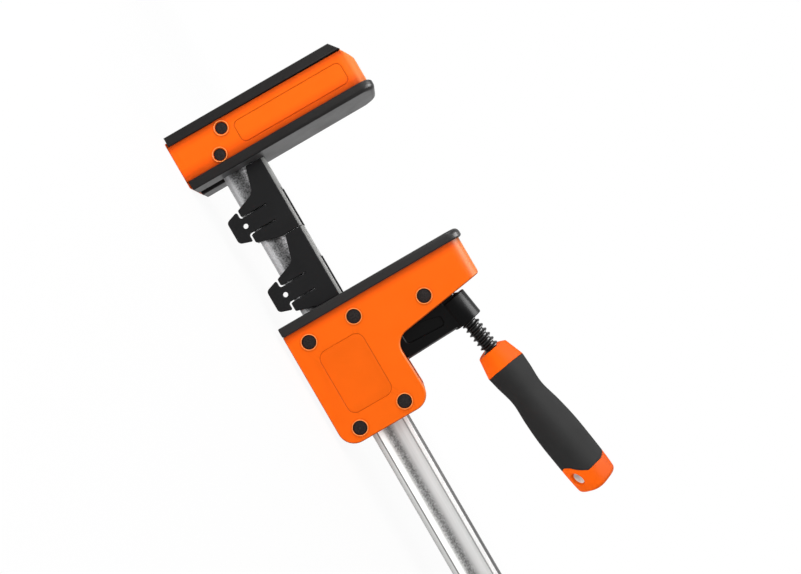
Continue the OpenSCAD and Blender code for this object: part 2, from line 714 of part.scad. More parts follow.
// Radius of the grip at a distance t from the collar: two cosine swells and a falling tail
function blend(a, b, k) = a + (b - a) * (1 - cos(180 * k)) / 2;
function grip_r(t) =
    t < waist_at ? blend(collar_large_d, waist_d, t / waist_at) / 2
    : t < bulge_at ? blend(waist_d, bulge_d, (t - waist_at) / (bulge_at - waist_at)) / 2
    : (bulge_d + (end_d - bulge_d) * pow((t - bulge_at) / (grip_length - bulge_at), 2)) / 2;
module handle_core() {
    steps = 8;
    end_steps = [for (k = [0:steps]) let (a = 90 * k / steps)
        [end_d / 2, end_at + end_length] + end_round * [cos(a) - 1, sin(a) - 1]];
    collar_r = [[collar_small_d / 2 - edge_round, collar_at], [collar_small_d / 2, collar_at + edge_round],
                [collar_large_d / 2, grip_at]];
    color(orange) on_axis() difference() {
        rotate_extrude() polygon(concat([[0, collar_at]], collar_r,
            [[stem_d / 2, grip_at], [stem_d / 2, end_at], [end_d / 2, end_at]],
            end_steps, [[0, end_at + end_length]]));
        translate([0, 0, collar_at - cut])
            cylinder(d = shank_d + 2 * seat_gap, h = shank_length + cut + seat_gap);
        lock_hole();
        hang_hole();
    }
}
// Cross hole of the pin that locks the spindle in the handle
module lock_hole() {
    translate([0, 0, lock_at]) rotate([90, 0, 0])
        cylinder(d = lock_pin_d + 2 * seat_gap, h = 2 * stem_d, center = true);
}
// Hanging hole across the end
module hang_hole() {
    translate([0, 0, end_at + end_length - hang_at]) rotate([0, 0, -hang_turn]) rotate([0, 90, 0])
        cylinder(d = hang_d, h = 2 * end_d, center = true);
}
module handle_grip() {
    steps = 18;
    outer = [for (i = [0:steps]) [grip_r(grip_length * i / steps), grip_at + grip_length * i / steps]];
    inner = stem_d / 2 + seat_gap;
    color(charcoal) on_axis() rotate_extrude()
        polygon(concat([[inner, grip_at + seat_gap]], [[outer[0][0], grip_at + seat_gap]],
            [for (i = [1:steps - 1]) outer[i]],
            [[outer[steps][0], end_at - seat_gap], [inner, end_at - seat_gap]]));
}
module handle_pin() {
    color(steel) on_axis() translate([0, 0, lock_at]) rotate([90, 0, 0])
        cylinder(d = lock_pin_d, h = stem_d - 2 * edge_round, center = true);
}

// Work support, from its start at x = 0
support_y = bar_thick / 2 + slide_gap;
support_out = support_y + support_wall;
hook_z = bar_z0 - slide_gap - support_wall;
finger_a = tongue_at - tongue_w / 2 - slit_w - finger_a_w;
finger_b = tongue_at + tongue_w / 2 + slit_w;
wall_length = support_length - finger_a;
rib_depth = (bar_thick - bar_web) / 2 - slide_gap;
tab_round = 2.5;
rib_z = bar_z1 - bar_flange - bar_slope - slide_gap - rib_h;
module support_face() {
    tab_z = bar_z0 - tab_reach;
    difference() {
        polygon(rounded([[0, bar_z1 - front_short, 0], [0, bar_z1 - narrow_end, 0],
                         [shoulder_at, bar_z1 - shoulder_h, shoulder_round], [finger_a, hook_z, 0],
                         [finger_b + finger_b_w, hook_z, 0], [support_length, bar_zm, 0],
                         [support_length, bar_z1 - front_short, 0]]));
        for (x = [tongue_at - tongue_w / 2 - slit_w, tongue_at + tongue_w / 2])
            translate([x, hook_z - cut]) square([slit_w, bar_z0 + slit_l - hook_z + cut]);
    }
    translate([tongue_at - tongue_w / 2, tab_z + cut]) square([tongue_w, bar_z0 - tab_z]);
    polygon(rounded([[tongue_at - tab_out_l / 2, tab_z, tab_round],
                     [tongue_at + tab_out_l / 2, tab_z, tab_round],
                     [tongue_at + tab_l / 2, tab_z + tab_h, edge_round],
                     [tongue_at - tab_l / 2, tab_z + tab_h, edge_round]]));
}
module support() {
    difference() {
        slab(-support_out, -support_y) support_face();
        rod_y(tongue_at, bar_z0 - tab_hole_at, tab_hole_d / 2, -jaw_width, jaw_width);
    }
    for (f = [[finger_a, finger_a_w], [finger_b, finger_b_w]])
        translate([f[0], 0, hook_z]) {
            translate([0, -support_out, 0]) cube([f[1], 2 * support_out, support_wall]);
            translate([0, support_y, 0]) cube([f[1], support_wall, 2 * support_wall]);
        }
    translate([finger_a, support_y, bar_z0])
        cube([wall_length, support_wall, bar_height + back_lip]);
    translate([finger_a, -support_y - cut, rib_z])
        cube([wall_length, rib_depth + cut, rib_h]);
}
module upper_support() {
    color(black) place() translate([support_gap, 0, 0]) support();
}
module lower_support() {
    color(black) place() translate([2 * support_gap + support_length, 0, 0]) support();
}

bar();
fixed_jaw_core();
fixed_front_shell();
fixed_back_shell();
fixed_clamp_pad();
spreader_pad();
fixed_jaw_bolts();
fixed_jaw_nuts();
bar_end_cap();
end_cap_pin();
jaw_core();
jaw_front_shell();
jaw_back_shell();
jaw_clamp_pad();
jaw_screws();
lower_guide();
thrust_seat();
brake_spring();
brake_spring_rivet();
clamp_arm();
jam_pins();
thrust_cup();
spindle();
handle_core();
handle_grip();
handle_pin();
upper_support();
lower_support();
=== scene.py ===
import json

import bmesh
import bpy
import numpy as np
from bpy.props import FloatProperty, FloatVectorProperty, PointerProperty
from mathutils import Matrix, Vector, geometry


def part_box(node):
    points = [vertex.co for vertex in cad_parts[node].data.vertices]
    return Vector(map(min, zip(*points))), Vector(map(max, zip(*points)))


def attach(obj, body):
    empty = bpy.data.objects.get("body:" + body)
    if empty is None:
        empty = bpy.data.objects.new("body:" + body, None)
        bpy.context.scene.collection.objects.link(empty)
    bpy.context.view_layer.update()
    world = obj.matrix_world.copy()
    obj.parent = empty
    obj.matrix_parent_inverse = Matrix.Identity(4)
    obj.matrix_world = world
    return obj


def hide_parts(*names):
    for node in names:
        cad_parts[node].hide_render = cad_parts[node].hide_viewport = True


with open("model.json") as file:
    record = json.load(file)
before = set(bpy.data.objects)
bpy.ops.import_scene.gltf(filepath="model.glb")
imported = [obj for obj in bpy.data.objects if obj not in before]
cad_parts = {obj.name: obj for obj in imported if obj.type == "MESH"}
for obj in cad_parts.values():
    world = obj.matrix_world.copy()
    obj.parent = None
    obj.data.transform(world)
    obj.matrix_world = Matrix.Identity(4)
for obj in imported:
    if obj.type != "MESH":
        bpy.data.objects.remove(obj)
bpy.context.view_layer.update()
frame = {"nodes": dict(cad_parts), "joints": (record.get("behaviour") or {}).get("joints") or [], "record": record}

bl_info = {
    "name": "Parallel clamp",
    "version": (1, 0, 0),
    "blender": (4, 5, 0),
    "location": "View3D > Sidebar > Clamp",
    "description": "Dresses the clamp's frame with moulded casings, pads, bar, screw and grip",
    "category": "Object",
}

MM = 0.001
TINY = 1e-9
# Points nearer than this, in metres, are one point
WELD = 2e-6
# The same for the points of a flat outline, in millimetres
NEAR = 1e-6
NEAR_FILL = 1e-5
# Edges that bend by more than this, in degrees, stay sharp
CREASE = 32.0
WHITE = (1.0, 1.0, 1.0, 1.0)
GREY = (0.5, 0.5, 0.5, 1.0)

# Places in millimetres, read from the frame


def low(node, axis):
    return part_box(node)[0][axis] / MM


def high(node, axis):
    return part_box(node)[1][axis] / MM


def both(node, axis):
    return low(node, axis), high(node, axis)


FACE_X = high("fixed_clamp_pad", 0)
FIXED_X0, FIXED_X1 = both("fixed_front_shell", 0)
SPREADER_X = low("spreader_pad", 0)
JAW_X0, JAW_X1 = both("jaw_front_shell", 0)
TIP_Z = high("fixed_front_shell", 2)
BAR_X0, BAR_X1 = both("bar", 0)
BAR_Z0, BAR_Z1 = both("bar", 2)
BAR_HALF = high("bar", 1)
HALF_W = high("fixed_back_shell", 1)
PAD_HALF = high("fixed_clamp_pad", 1)
PAD_Z = high("fixed_clamp_pad", 2)
CAP_X1 = high("bar_end_cap", 0)
SPINDLE = next(j for j in frame["joints"] if j["name"] == "spindle_turn")
BALL = np.array(SPINDLE["pos_m"], float) / MM
ALONG = -np.array(SPINDLE["axis"], float)
ALONG /= np.linalg.norm(ALONG)
ACROSS = np.array([0.0, 1.0, 0.0])
# Points to the rear of the jaws, square to the spindle
REARWARD = np.cross(ACROSS, ALONG)

# Sizes of the casings and their fasteners, in millimetres
REAR_Z = low("jaw_front_shell", 2)
HOUSING_REACH = 20.0
HOUSING_Z = BAR_Z1 + HOUSING_REACH
BEAK_ROOT, BEAK_TIP = 39.3, 28.1
# How far the housing's edge falls towards the notch
NOTCH_FALL = 1.2
TIP_CHAMFER = (8.3, 6.5)
SHELL_WALL = 3.0
PART_LINE = 0.2
SLIDE_GAP = 0.3
# Thickness of the fixed casing's rear wall, which wraps round the ends of its pads
REAR_WALL = 1.3
ARM_GAP = 0.6
ARM_SLOT = 9.1
# Top of the arm's slot, and its ends along the moving jaw
SLOT_TOP, SLOT_NEAR, SLOT_FAR = BALL[2] + 10.6, 20.0, 76.4
HEAD_THICK = 2.6
# How far the flat of a face lies in from its rolled rim
LAND = 0.2
# Place along the spindle and turn round it of the handle's hanging hole
HANG_AT, HANG_TURN = 162.5, np.radians(-35.0)
# Way along the bar and across it that is turned from the side lamp; rims that face this way get painted shade
AWAY = np.array([0.862, -0.508])
SCREW_R, BOLT_R = 4.9, 4.1
# Middle of each screw and bolt: along the bar, and height
SCREWS = [(JAW_X0 + 11.1, BAR_Z0 - 3.7), (JAW_X0 + 11.1, BAR_Z1 + 2.5),
          (JAW_X0 + 23.1, BALL[2] - 14.3), (JAW_X0 + 78.5, BAR_Z1 + 3.5),
          (JAW_X0 + 79.0, BAR_Z0 - 2.9)]
BOLTS = [(FIXED_X0 + 6.6, BAR_Z0 + 17.8), (FIXED_X1 - 5.2, BAR_Z0 + 7.9)]


def length(label, millimetres, text):
    return FloatProperty(name=label, description=text, default=millimetres * MM,
                         min=0.0, subtype="DISTANCE", unit="LENGTH", precision=5)


def power(label, watts, text):
    return FloatProperty(name=label, description=text, default=watts, min=0.0,
                         subtype="POWER", unit="POWER")


def colour(label, red, green, blue, text):
    return FloatVectorProperty(name=label, description=text, default=(red, green, blue),
                               size=3, min=0.0, max=1.0, subtype="COLOR")


class ClampCasing(bpy.types.PropertyGroup):
    """Sizes and colour of the moulded casings"""
    edge: length("Edge", 1.3, "Round along the rim of each casing half")
    tip: length("Tip round", 11.0, "Quarter round at the tip of the jaws")
    notch: length("Notch round", 11.0, "Round where the beak meets the housing")
    corner: length("Housing corner", 12.0, "Round of the housing's two outer corners")
    ring: length("Ring height", 0.7, "How far the ring round each screw stands out")
    tint: colour("Colour", 1.0, 0.148, 0.004, "Orange of the casings")
    # Pale orange of the painted highlights: the tops of the screw rings, the light lines on the rims and the slope
    # at the tip
    rim: colour("Ring colour", 1.0, 0.36, 0.10, "Light orange of the rings round the screws")


class ClampPads(bpy.types.PropertyGroup):
    """Sizes and colour of the jaw pads"""
    tip: length("Tip round", 10.0, "Round of the pad's two corners at the tip")
    edge: length("Edge", 0.9, "Round along the pad's outer face")
    nose: length("Nose", 3.8, "Round of the pad's outer face at the tip")
    tint: colour("Colour", 0.0135, 0.0124, 0.0122, "Charcoal of the pads")
    # The paler face colour is a painted reflection on the clamping face, and also the colour of the painted sheen
    # on the moving pad's edges
    face: colour("Face colour", 0.065, 0.065, 0.065, "Smoother, paler clamping face")


class ClampBar(bpy.types.PropertyGroup):
    """Sizes and colour of the bar and its end cap"""
    sag: length("Channel depth", 2.2, "Depth of the rolled channel in each side")
    rear_flange: length("Rear flange", 4.1, "Flat beside the channel at the rear edge")
    throat_flange: length("Throat flange", 4.7, "Flat beside the channel at the throat edge")
    tooth: length("Tooth", 1.25, "Pitch of the fine teeth on the throat edge")
    bite: length("Bite", 0.3, "Depth of the fine teeth")
    tint: colour("Colour", 0.72, 0.72, 0.71, "Zinc of the bar")


class ClampSupports(bpy.types.PropertyGroup):
    """Size and colour of the work supports"""
    edge: length("Edge", 0.4, "Round along the rims of the work supports")
    tint: colour("Colour", 0.0065, 0.0065, 0.007, "Near black of the supports")
    strip: colour("Strip colour", 0.42, 0.42, 0.41, "Pale strip beside the bar's throat edge")


class ClampArm(bpy.types.PropertyGroup):
    """Sizes and colour of the clamping arm"""
    edge: length("Edge", 1.3, "Round along the rims of the arm")
    recess: length("Recess", 1.0, "Depth of the sunk panel in the arm")
    boss: length("Boss", 22.0, "Diameter of the boss that the screw runs in")
    tint: colour("Colour", 0.0018, 0.0018, 0.0019, "Gloss black of the arm")


class ClampScrew(bpy.types.PropertyGroup):
    """Sizes and colour of the spindle"""
    crest: length("Crest", 13.0, "Outer diameter of the thread")
    root: length("Root", 9.4, "Root diameter of the thread")
    pitch: length("Pitch", 4.0, "Advance of the thread in one turn")
    tint: colour("Colour", 0.006, 0.006, 0.006, "Black of the spindle")


class ClampHandle(bpy.types.PropertyGroup):
    """Sizes and colours of the handle"""
    collar: length("Collar", 10.6, "Half width of the collar where the screw goes in")
    flare: length("Flare", 13.5, "Half width of the collar where the grip starts")
    waist: length("Waist", 11.4, "Half width of the grip at its waist")
    palm: length("Palm", 14.2, "Half width of the grip where the palm holds it")
    heel: length("Heel", 13.3, "Half width of the end")
    hole: length("Hanging hole", 8.2, "Diameter of the hole across the end")
    tint: colour("Hard colour", 1.0, 0.132, 0.005, "Orange of the collar and the end")
    # The hole's pale wall is painted light that stands for light seen through the hole
    bore: colour("Hole colour", 0.95, 0.92, 0.90, "Pale wall of the hanging hole")
    soft: colour("Grip colour", 0.036, 0.036, 0.036, "Charcoal of the soft grip")


class ClampStage(bpy.types.PropertyGroup):
    """Light and ground"""
    ambient: FloatProperty(name="Ambient", description="Strength of the even light all round",
                           default=0.47, min=0.0)
    key: power("Key", 6.9, "Power of the large soft lamp in front")
    side: power("Side", 4.5, "Power of the lamp beyond the fixed jaw")
    top: power("Top", 42.0, "Power of the lamp that only shows in glossy faces")
    fill: power("Fill", 0.05, "Power of the small lamp for the hard ends of the handle")


GROUPS = {"casing": ClampCasing, "pads": ClampPads, "bar": ClampBar, "supports": ClampSupports,
          "arm": ClampArm, "screw": ClampScrew, "handle": ClampHandle, "stage": ClampStage}


class ClampSettings(bpy.types.PropertyGroup):
    """All the settings of the clamp"""
    __annotations__ = {name: PointerProperty(type=kind) for name, kind in GROUPS.items()}


# Outlines and surfaces, in millimetres


def unit(v):
    """Each row over its own length."""
    return v / np.maximum(np.linalg.norm(v, axis=-1, keepdims=True), TINY)


def around(steps):
    """Equal angles, once round."""
    return np.linspace(0, 2 * np.pi, steps, endpoint=False)


def quarter(steps):
    """Angles from nothing to a quarter turn."""
    return np.radians(np.linspace(0, 90, steps))


def rounded(corners, steps=8):
    """Outline through [a, b, radius] corners: each corner is an arc tangent to both its sides."""
    c = np.array(corners, float)
    p, r = c[:, :2], c[:, 2:]
    back, on = unit(np.roll(p, 1, 0) - p), unit(np.roll(p, -1, 0) - p)
    half = np.arccos(np.clip((back * on).sum(1, keepdims=True), -1, 1)) / 2
    reach = r / np.tan(half)
    centre = p + unit(back + on) * r / np.sin(half)
    first, last = p + back * reach - centre, p + on * reach - centre
    start = np.arctan2(first[:, 1], first[:, 0])
    sweep = (np.arctan2(last[:, 1], last[:, 0]) - start + np.pi) % (2 * np.pi) - np.pi
    a = start[:, None] + sweep[:, None] * np.linspace(0, 1, steps + 1)
    arcs = centre[:, None] + r[:, None] * np.stack([np.cos(a), np.sin(a)], -1)
    out = arcs.reshape(-1, 2)
    return out[np.linalg.norm(out - np.roll(out, 1, 0), axis=1) > NEAR]


def oblong(a0, a1, b0, b1, r=0.0):
    """Outline with four square corners, all rounded alike."""
    return rounded([[a0, b0, r], [a1, b0, r], [a1, b1, r], [a0, b1, r]])


def circle(a, b, r, steps=40):
    """Points at equal angles round a centre."""
    t = around(steps)
    return np.stack([a + r * np.cos(t), b + r * np.sin(t)], -1)


def mitre(loop, closed=True):
    """Push at each point of a counter-clockwise outline that moves both its sides out by one."""
    side = np.roll(loop, -1, 0) - loop
    n = unit(np.stack([side[:, 1], -side[:, 0]], -1))
    if not closed:
        n[-1] = n[-2]
    before = np.roll(n, 1, 0)
    if not closed:
        before[0] = n[0]
    m = n + before
    return 2 * m / np.maximum((m * m).sum(1, keepdims=True), TINY)


def inside(loop, points):
    """True where a ray from the point crosses the outline an odd number of times."""
    a, b = loop, np.roll(loop, -1, 0)
    x, y = points[:, :1], points[:, 1:]
    crosses = (a[:, 1] > y) != (b[:, 1] > y)
    rise = np.where(b[:, 1] == a[:, 1], TINY, b[:, 1] - a[:, 1])
    return (crosses & (x < a[:, 0] + (y - a[:, 1]) * (b[:, 0] - a[:, 0]) / rise)).sum(1) % 2 == 1


def fill(outer, holes=(), creases=()):
    """Triangles over an outline less its holes, by Delaunay; creases stay as edges."""
    loops = [outer, *holes]
    ends = np.cumsum([0] + [len(k) for k in loops])
    rings = [np.arange(i, j) for i, j in zip(ends[:-1], ends[1:])]
    edges = np.vstack([np.stack([i, np.roll(i, -1)], -1) for i in rings])
    points = np.vstack([*loops, *creases])
    edges = np.vstack([edges, np.arange(ends[-1], len(points)).reshape(-1, 2)])
    spots = [Vector(p) for p in points.tolist()]
    got = geometry.delaunay_2d_cdt(spots, edges.tolist(), [], 0, NEAR_FILL)
    at, tri = np.array([v[:] for v in got[0]]), np.array(got[2])
    middle = at[tri].mean(1)
    keep = inside(outer, middle)
    for hole in holes:
        keep &= ~inside(hole, middle)
    return at, tri[keep]


def grid(rows, ring=True):
    """Quads between rows of points; ring joins each row's end to its start."""
    v, u = rows.shape[:2]
    i = np.arange(v * u).reshape(v, u)
    if ring:
        i = np.hstack([i, i[:, :1]])
    quads = np.stack([i[:-1, :-1], i[:-1, 1:], i[1:, 1:], i[1:, :-1]], -1).reshape(-1, 4)
    return rows.reshape(-1, 3), quads


def roll_rows(depth_low, depth_high, edge, steps=5):
    """Inset and depth of each row of a rolled block: quarter rounds at both rims."""
    a = quarter(steps)[::-1]
    inset = np.concatenate([[edge + LAND], edge * (1 - np.cos(a))])
    depth = np.concatenate([[0.0], edge * (1 - np.sin(a))])
    return (np.concatenate([inset, inset[::-1]]),
            np.concatenate([depth_low + depth, depth_high - depth[::-1]]))


def lift(flat, depth):
    """Flat points given a depth, the same for all or their own."""
    return np.concatenate([flat, np.broadcast_to(depth, flat.shape[:-1])[..., None]], -1)


def carry(loop, inset, depth):
    """Rows of an outline set in by each inset, at each depth."""
    return lift(loop - mitre(loop) * np.asarray(inset)[:, None, None], np.asarray(depth)[:, None])


def capped(rows):
    """Skin over rows of points, and a flat cap on the first row and on the last."""
    parts = [grid(rows)]
    for row in (rows[0], rows[-1]):
        flat, tri = fill(row[:, :2])
        parts.append((lift(flat, row[0, 2]), tri))
    return parts


def block(loop, depth_low, depth_high, edge, holes=(), sunk=(), sink=0.0):
    """Closed block: an outline carried between two faces with rolled rims; holes go through,
    and sunk outlines are pressed in from both faces by sink."""
    inset, depth = roll_rows(depth_low, depth_high, edge)
    parts = [grid(carry(loop, inset, depth))]
    parts += [grid(carry(h, -inset, depth)) for h in holes]
    bend = min(edge, sink / 2)
    press_in, press = roll_rows(0, sink + 1, bend)
    half = len(press) // 2
    for face, way in ((depth_low, 1), (depth_high, -1)):
        opened = [h + mitre(h) * inset[0] for h in holes]
        for h in sunk:
            opened.append(h + mitre(h) * press_in[0])
            down = np.concatenate([press[:half], [sink - bend / 2, sink, sink]])
            in_by = np.concatenate([-press_in[:half], [0, bend / 2, bend / 2 + LAND]])
            rows = carry(h, in_by, face + way * down)
            parts.append(grid(rows))
            at, tri = fill(rows[-1, :, :2])
            parts.append((lift(at, face + way * sink), tri))
        at, tri = fill(loop - mitre(loop) * inset[0], opened)
        parts.append((lift(at, face), tri))
    return parts


def upright(parts):
    """Blocks drawn in X and Z, with their depth along Y."""
    return [(p[:, [0, 2, 1]], f) for p, f in parts]


def along_bar(parts):
    """Blocks drawn in Y and Z, with their depth along X."""
    return [(p[:, [2, 0, 1]], f) for p, f in parts]


def turned(profile, place, steps=48):
    """Closed turning: distances and radii carried round an axis; place puts it in the clamp."""
    t = around(steps)
    s, r = np.array(profile, float).T
    rows = place(np.broadcast_to(s[:, None], (len(s), steps)),
                 r[:, None] * np.cos(t), r[:, None] * np.sin(t))
    return grid(rows)


def on_spindle(s, a, b):
    """Point at s along the spindle from its ball, a to the rear and b across."""
    return (BALL + np.asarray(s)[..., None] * ALONG + np.asarray(a)[..., None] * REARWARD
            + np.asarray(b)[..., None] * ACROSS)


def through(s, at, value):
    """Smooth curve through stations: cubic pieces that take their slopes from the stations."""
    at, value = np.array(at, float), np.array(value, float)
    slope = np.gradient(value, at)
    k = np.clip(np.searchsorted(at, s) - 1, 0, len(at) - 2)
    h = at[k + 1] - at[k]
    t = np.clip((s - at[k]) / h, 0, 1)
    return ((1 + 2 * t) * (1 - t) ** 2 * value[k] + t * (1 - t) ** 2 * h * slope[k]
            + t ** 2 * (3 - 2 * t) * value[k + 1] + t ** 2 * (t - 1) * h * slope[k + 1])


def finish_of(slot):
    """Finish made for a slot of the record."""
    return bpy.data.materials[f"{slot} finish"]


def welded(name, points, faces, tone=None, faces_to=None):
    """Mesh with its doubled points joined, and its faces outwards or all in all to faces_to."""
    mesh = bpy.data.meshes.new(name)
    mesh.from_pydata((points * MM).tolist(), [], faces)
    if tone is not None:
        layer = mesh.attributes.new("tone", "FLOAT", "POINT")
        layer.data.foreach_set("value", tone.astype(np.float32))
    bm = bmesh.new()
    bm.from_mesh(mesh)
    bmesh.ops.remove_doubles(bm, verts=bm.verts, dist=WELD)
    bmesh.ops.dissolve_degenerate(bm, dist=WELD / 4, edges=bm.edges)
    bmesh.ops.recalc_face_normals(bm, faces=bm.faces)
    if faces_to is not None:
        lean = sum((f.normal * f.calc_area() for f in bm.faces), Vector())
        if lean.dot(Vector(faces_to)) < 0:
            bmesh.ops.reverse_faces(bm, faces=bm.faces)
    bm.to_mesh(mesh)
    bm.free()
    return mesh


def smooth(mesh, crease=CREASE):
    """Smooth shading that keeps the edges over the crease angle sharp."""
    mesh.polygons.foreach_set("use_smooth", np.ones(len(mesh.polygons), bool))
    mesh.set_sharp_from_angle(angle=np.radians(crease))


def piece(name, parts, body, slot, cad, crease=CREASE, faces_to=None):
    """One named mesh of all the parts, riding its body in place of the CAD nodes. A part is points and faces, and
    may have a tone for each point: over 0 its finish is lighter, under 0 darker. The tones paint light and shade,
    all but the pale strip of the work supports."""
    ends = np.cumsum([0] + [len(part[0]) for part in parts])
    faces = [row for part, at in zip(parts, ends) for row in (np.asarray(part[1]) + at).tolist()]
    tone = np.concatenate([part[2] if len(part) > 2 else np.zeros(len(part[0])) for part in parts])
    mesh = welded(name, np.vstack([part[0] for part in parts]), faces, tone, faces_to)
    smooth(mesh, crease)
    mesh.materials.append(finish_of(slot))
    obj = bpy.data.objects.new(name, mesh)
    bpy.context.scene.collection.objects.link(obj)
    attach(obj, body)
    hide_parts(*cad)
    return obj


# Casings


def front_at(z, tip):
    """Half width of a jaw at height z: full, then falling by a quarter round to the tip."""
    over = np.clip(z - (TIP_Z - tip), 0, tip)
    return HALF_W - tip + np.sqrt(tip ** 2 - over ** 2)


def casing_half(casing, side, paths, heads, ring, panel):
    """Half shell: each open outline goes from the parting line to the front and rolls over by a
    quarter round; the front is filled round the screw rings and the panel's line."""
    edge, tip = casing.edge / MM, casing.tip / MM
    parts, border = [], []
    turn = quarter(8)
    slack, land = 0.05, 0.25
    for path in paths:
        push = mitre(path, closed=False)
        x, z = path[:, 0], path[:, 1]
        window = ((x > JAW_X1 - 2 * slack) & (z > BAR_Z0 - SLIDE_GAP - slack)
                  & (z < BAR_Z1 + SLIDE_GAP + slack))
        slot = ((z > HOUSING_Z - NOTCH_FALL - 2 * slack) & (z < SLOT_TOP + slack)
                & (x > JAW_X0 + SLOT_NEAR) & (x < JAW_X0 + SLOT_FAR + slack))
        start = np.where(window, BAR_HALF + SLIDE_GAP, 0) + np.where(slot, ARM_SLOT, 0)
        inset = np.concatenate([[SHELL_WALL, PART_LINE, 0], edge * (1 - np.cos(turn)),
                                [edge + land]])
        at = path - push * inset[:, None, None]
        roll = np.concatenate([edge * (1 - np.sin(turn)), [0.0]])
        depth = np.concatenate([[start, start, start + PART_LINE],
                                front_at(at[3:, :, 1], tip) - roll[:, None]])
        # Painted light and shade on the rims: a rim that faces away from the side lamp gets a painted dark line
        # and painted shade on its side wall, the others a painted highlight line; the rows at the parting line get
        # painted shade
        under = np.clip(unit(push) @ AWAY, 0, 1)
        roll_by = turn[:, None]
        line = np.where(roll_by < 0.9, -1.8 * under, 0) + 0.5 * np.sin(2 * roll_by) * (1 - under)
        wall = -np.clip(1.5 * under, 0, 1)
        tone = np.concatenate([np.full((2, len(path)), -1.0), [wall], line,
                               np.zeros((1, len(path)))])
        rows = np.stack([at[..., 0], side * depth, at[..., 1]], -1)
        parts.append((*grid(rows, ring=False), tone.ravel()))
        border.append(at[-1])
    border = np.vstack(border)
    holes = []
    t = around(56)
    for x, z, r, gap in heads:
        wide = r + gap
        # Reach from the middle, height over the front and tone of each row of a raised ring; the tone paints a
        # highlight on the ring's top and shade at its foot and down its inner wall
        rim = ([(wide + 2.4, 0, 0), (wide + 1.1, 0, -0.4), (wide + 0.8, 0.05, -0.5),
                (wide + 0.75, ring * 0.7, 0.6), (wide + 0.65, ring, 1), (wide + 0.3, ring, 1),
                (wide + 0.15, ring * 0.75, -0.2), (r + 0.12, ring - 0.5, -1.2),
                (r + 0.1, -HEAD_THICK, -1.5)] if ring else
               [(r + 0.35, 0, 0), (r + 0.1, -0.25, 0), (r + 0.1, -HEAD_THICK, 0)])
        reach, out, tone = np.array(rim).T
        rows = np.stack([x + reach[:, None] * np.cos(t),
                         np.broadcast_to(side * (HALF_W + out[:, None]), (len(out), len(t))),
                         z + reach[:, None] * np.sin(t)], -1)
        parts.append((*grid(rows), np.repeat(tone, len(t))))
        holes.append(rows[0][:, [0, 2]])
    x0, x1, z0, z1, r, wide = panel
    frame_line = oblong(x0, x1, z0, z1, r)
    lip, sink, stride = 0.25, 0.3, 0.7
    groove = carry(frame_line, [0, lip, wide - lip, wide], HALF_W - np.array([0, sink, sink, 0]))
    groove[..., 2] *= side
    # Painted shade in the panel's groove
    dark = np.repeat([-0.2, -0.9, -0.9, -0.2], len(frame_line))
    parts.append((*grid(groove[..., [0, 2, 1]]), dark))
    heights = np.arange(TIP_Z - tip, border[:, 1].max(), stride)
    ends = border[:, 0].min() - 1, border[:, 0].max() + 1
    creases = [np.array([[x, h] for x in ends]) for h in heights]
    flat, tri = fill(border, holes + [groove[0, :, :2]], creases)
    for at, faces in ((flat, tri), fill(groove[-1, :, :2])):
        parts.append((np.stack([at[:, 0], side * front_at(at[:, 1], tip), at[:, 1]], -1), faces))
    return parts


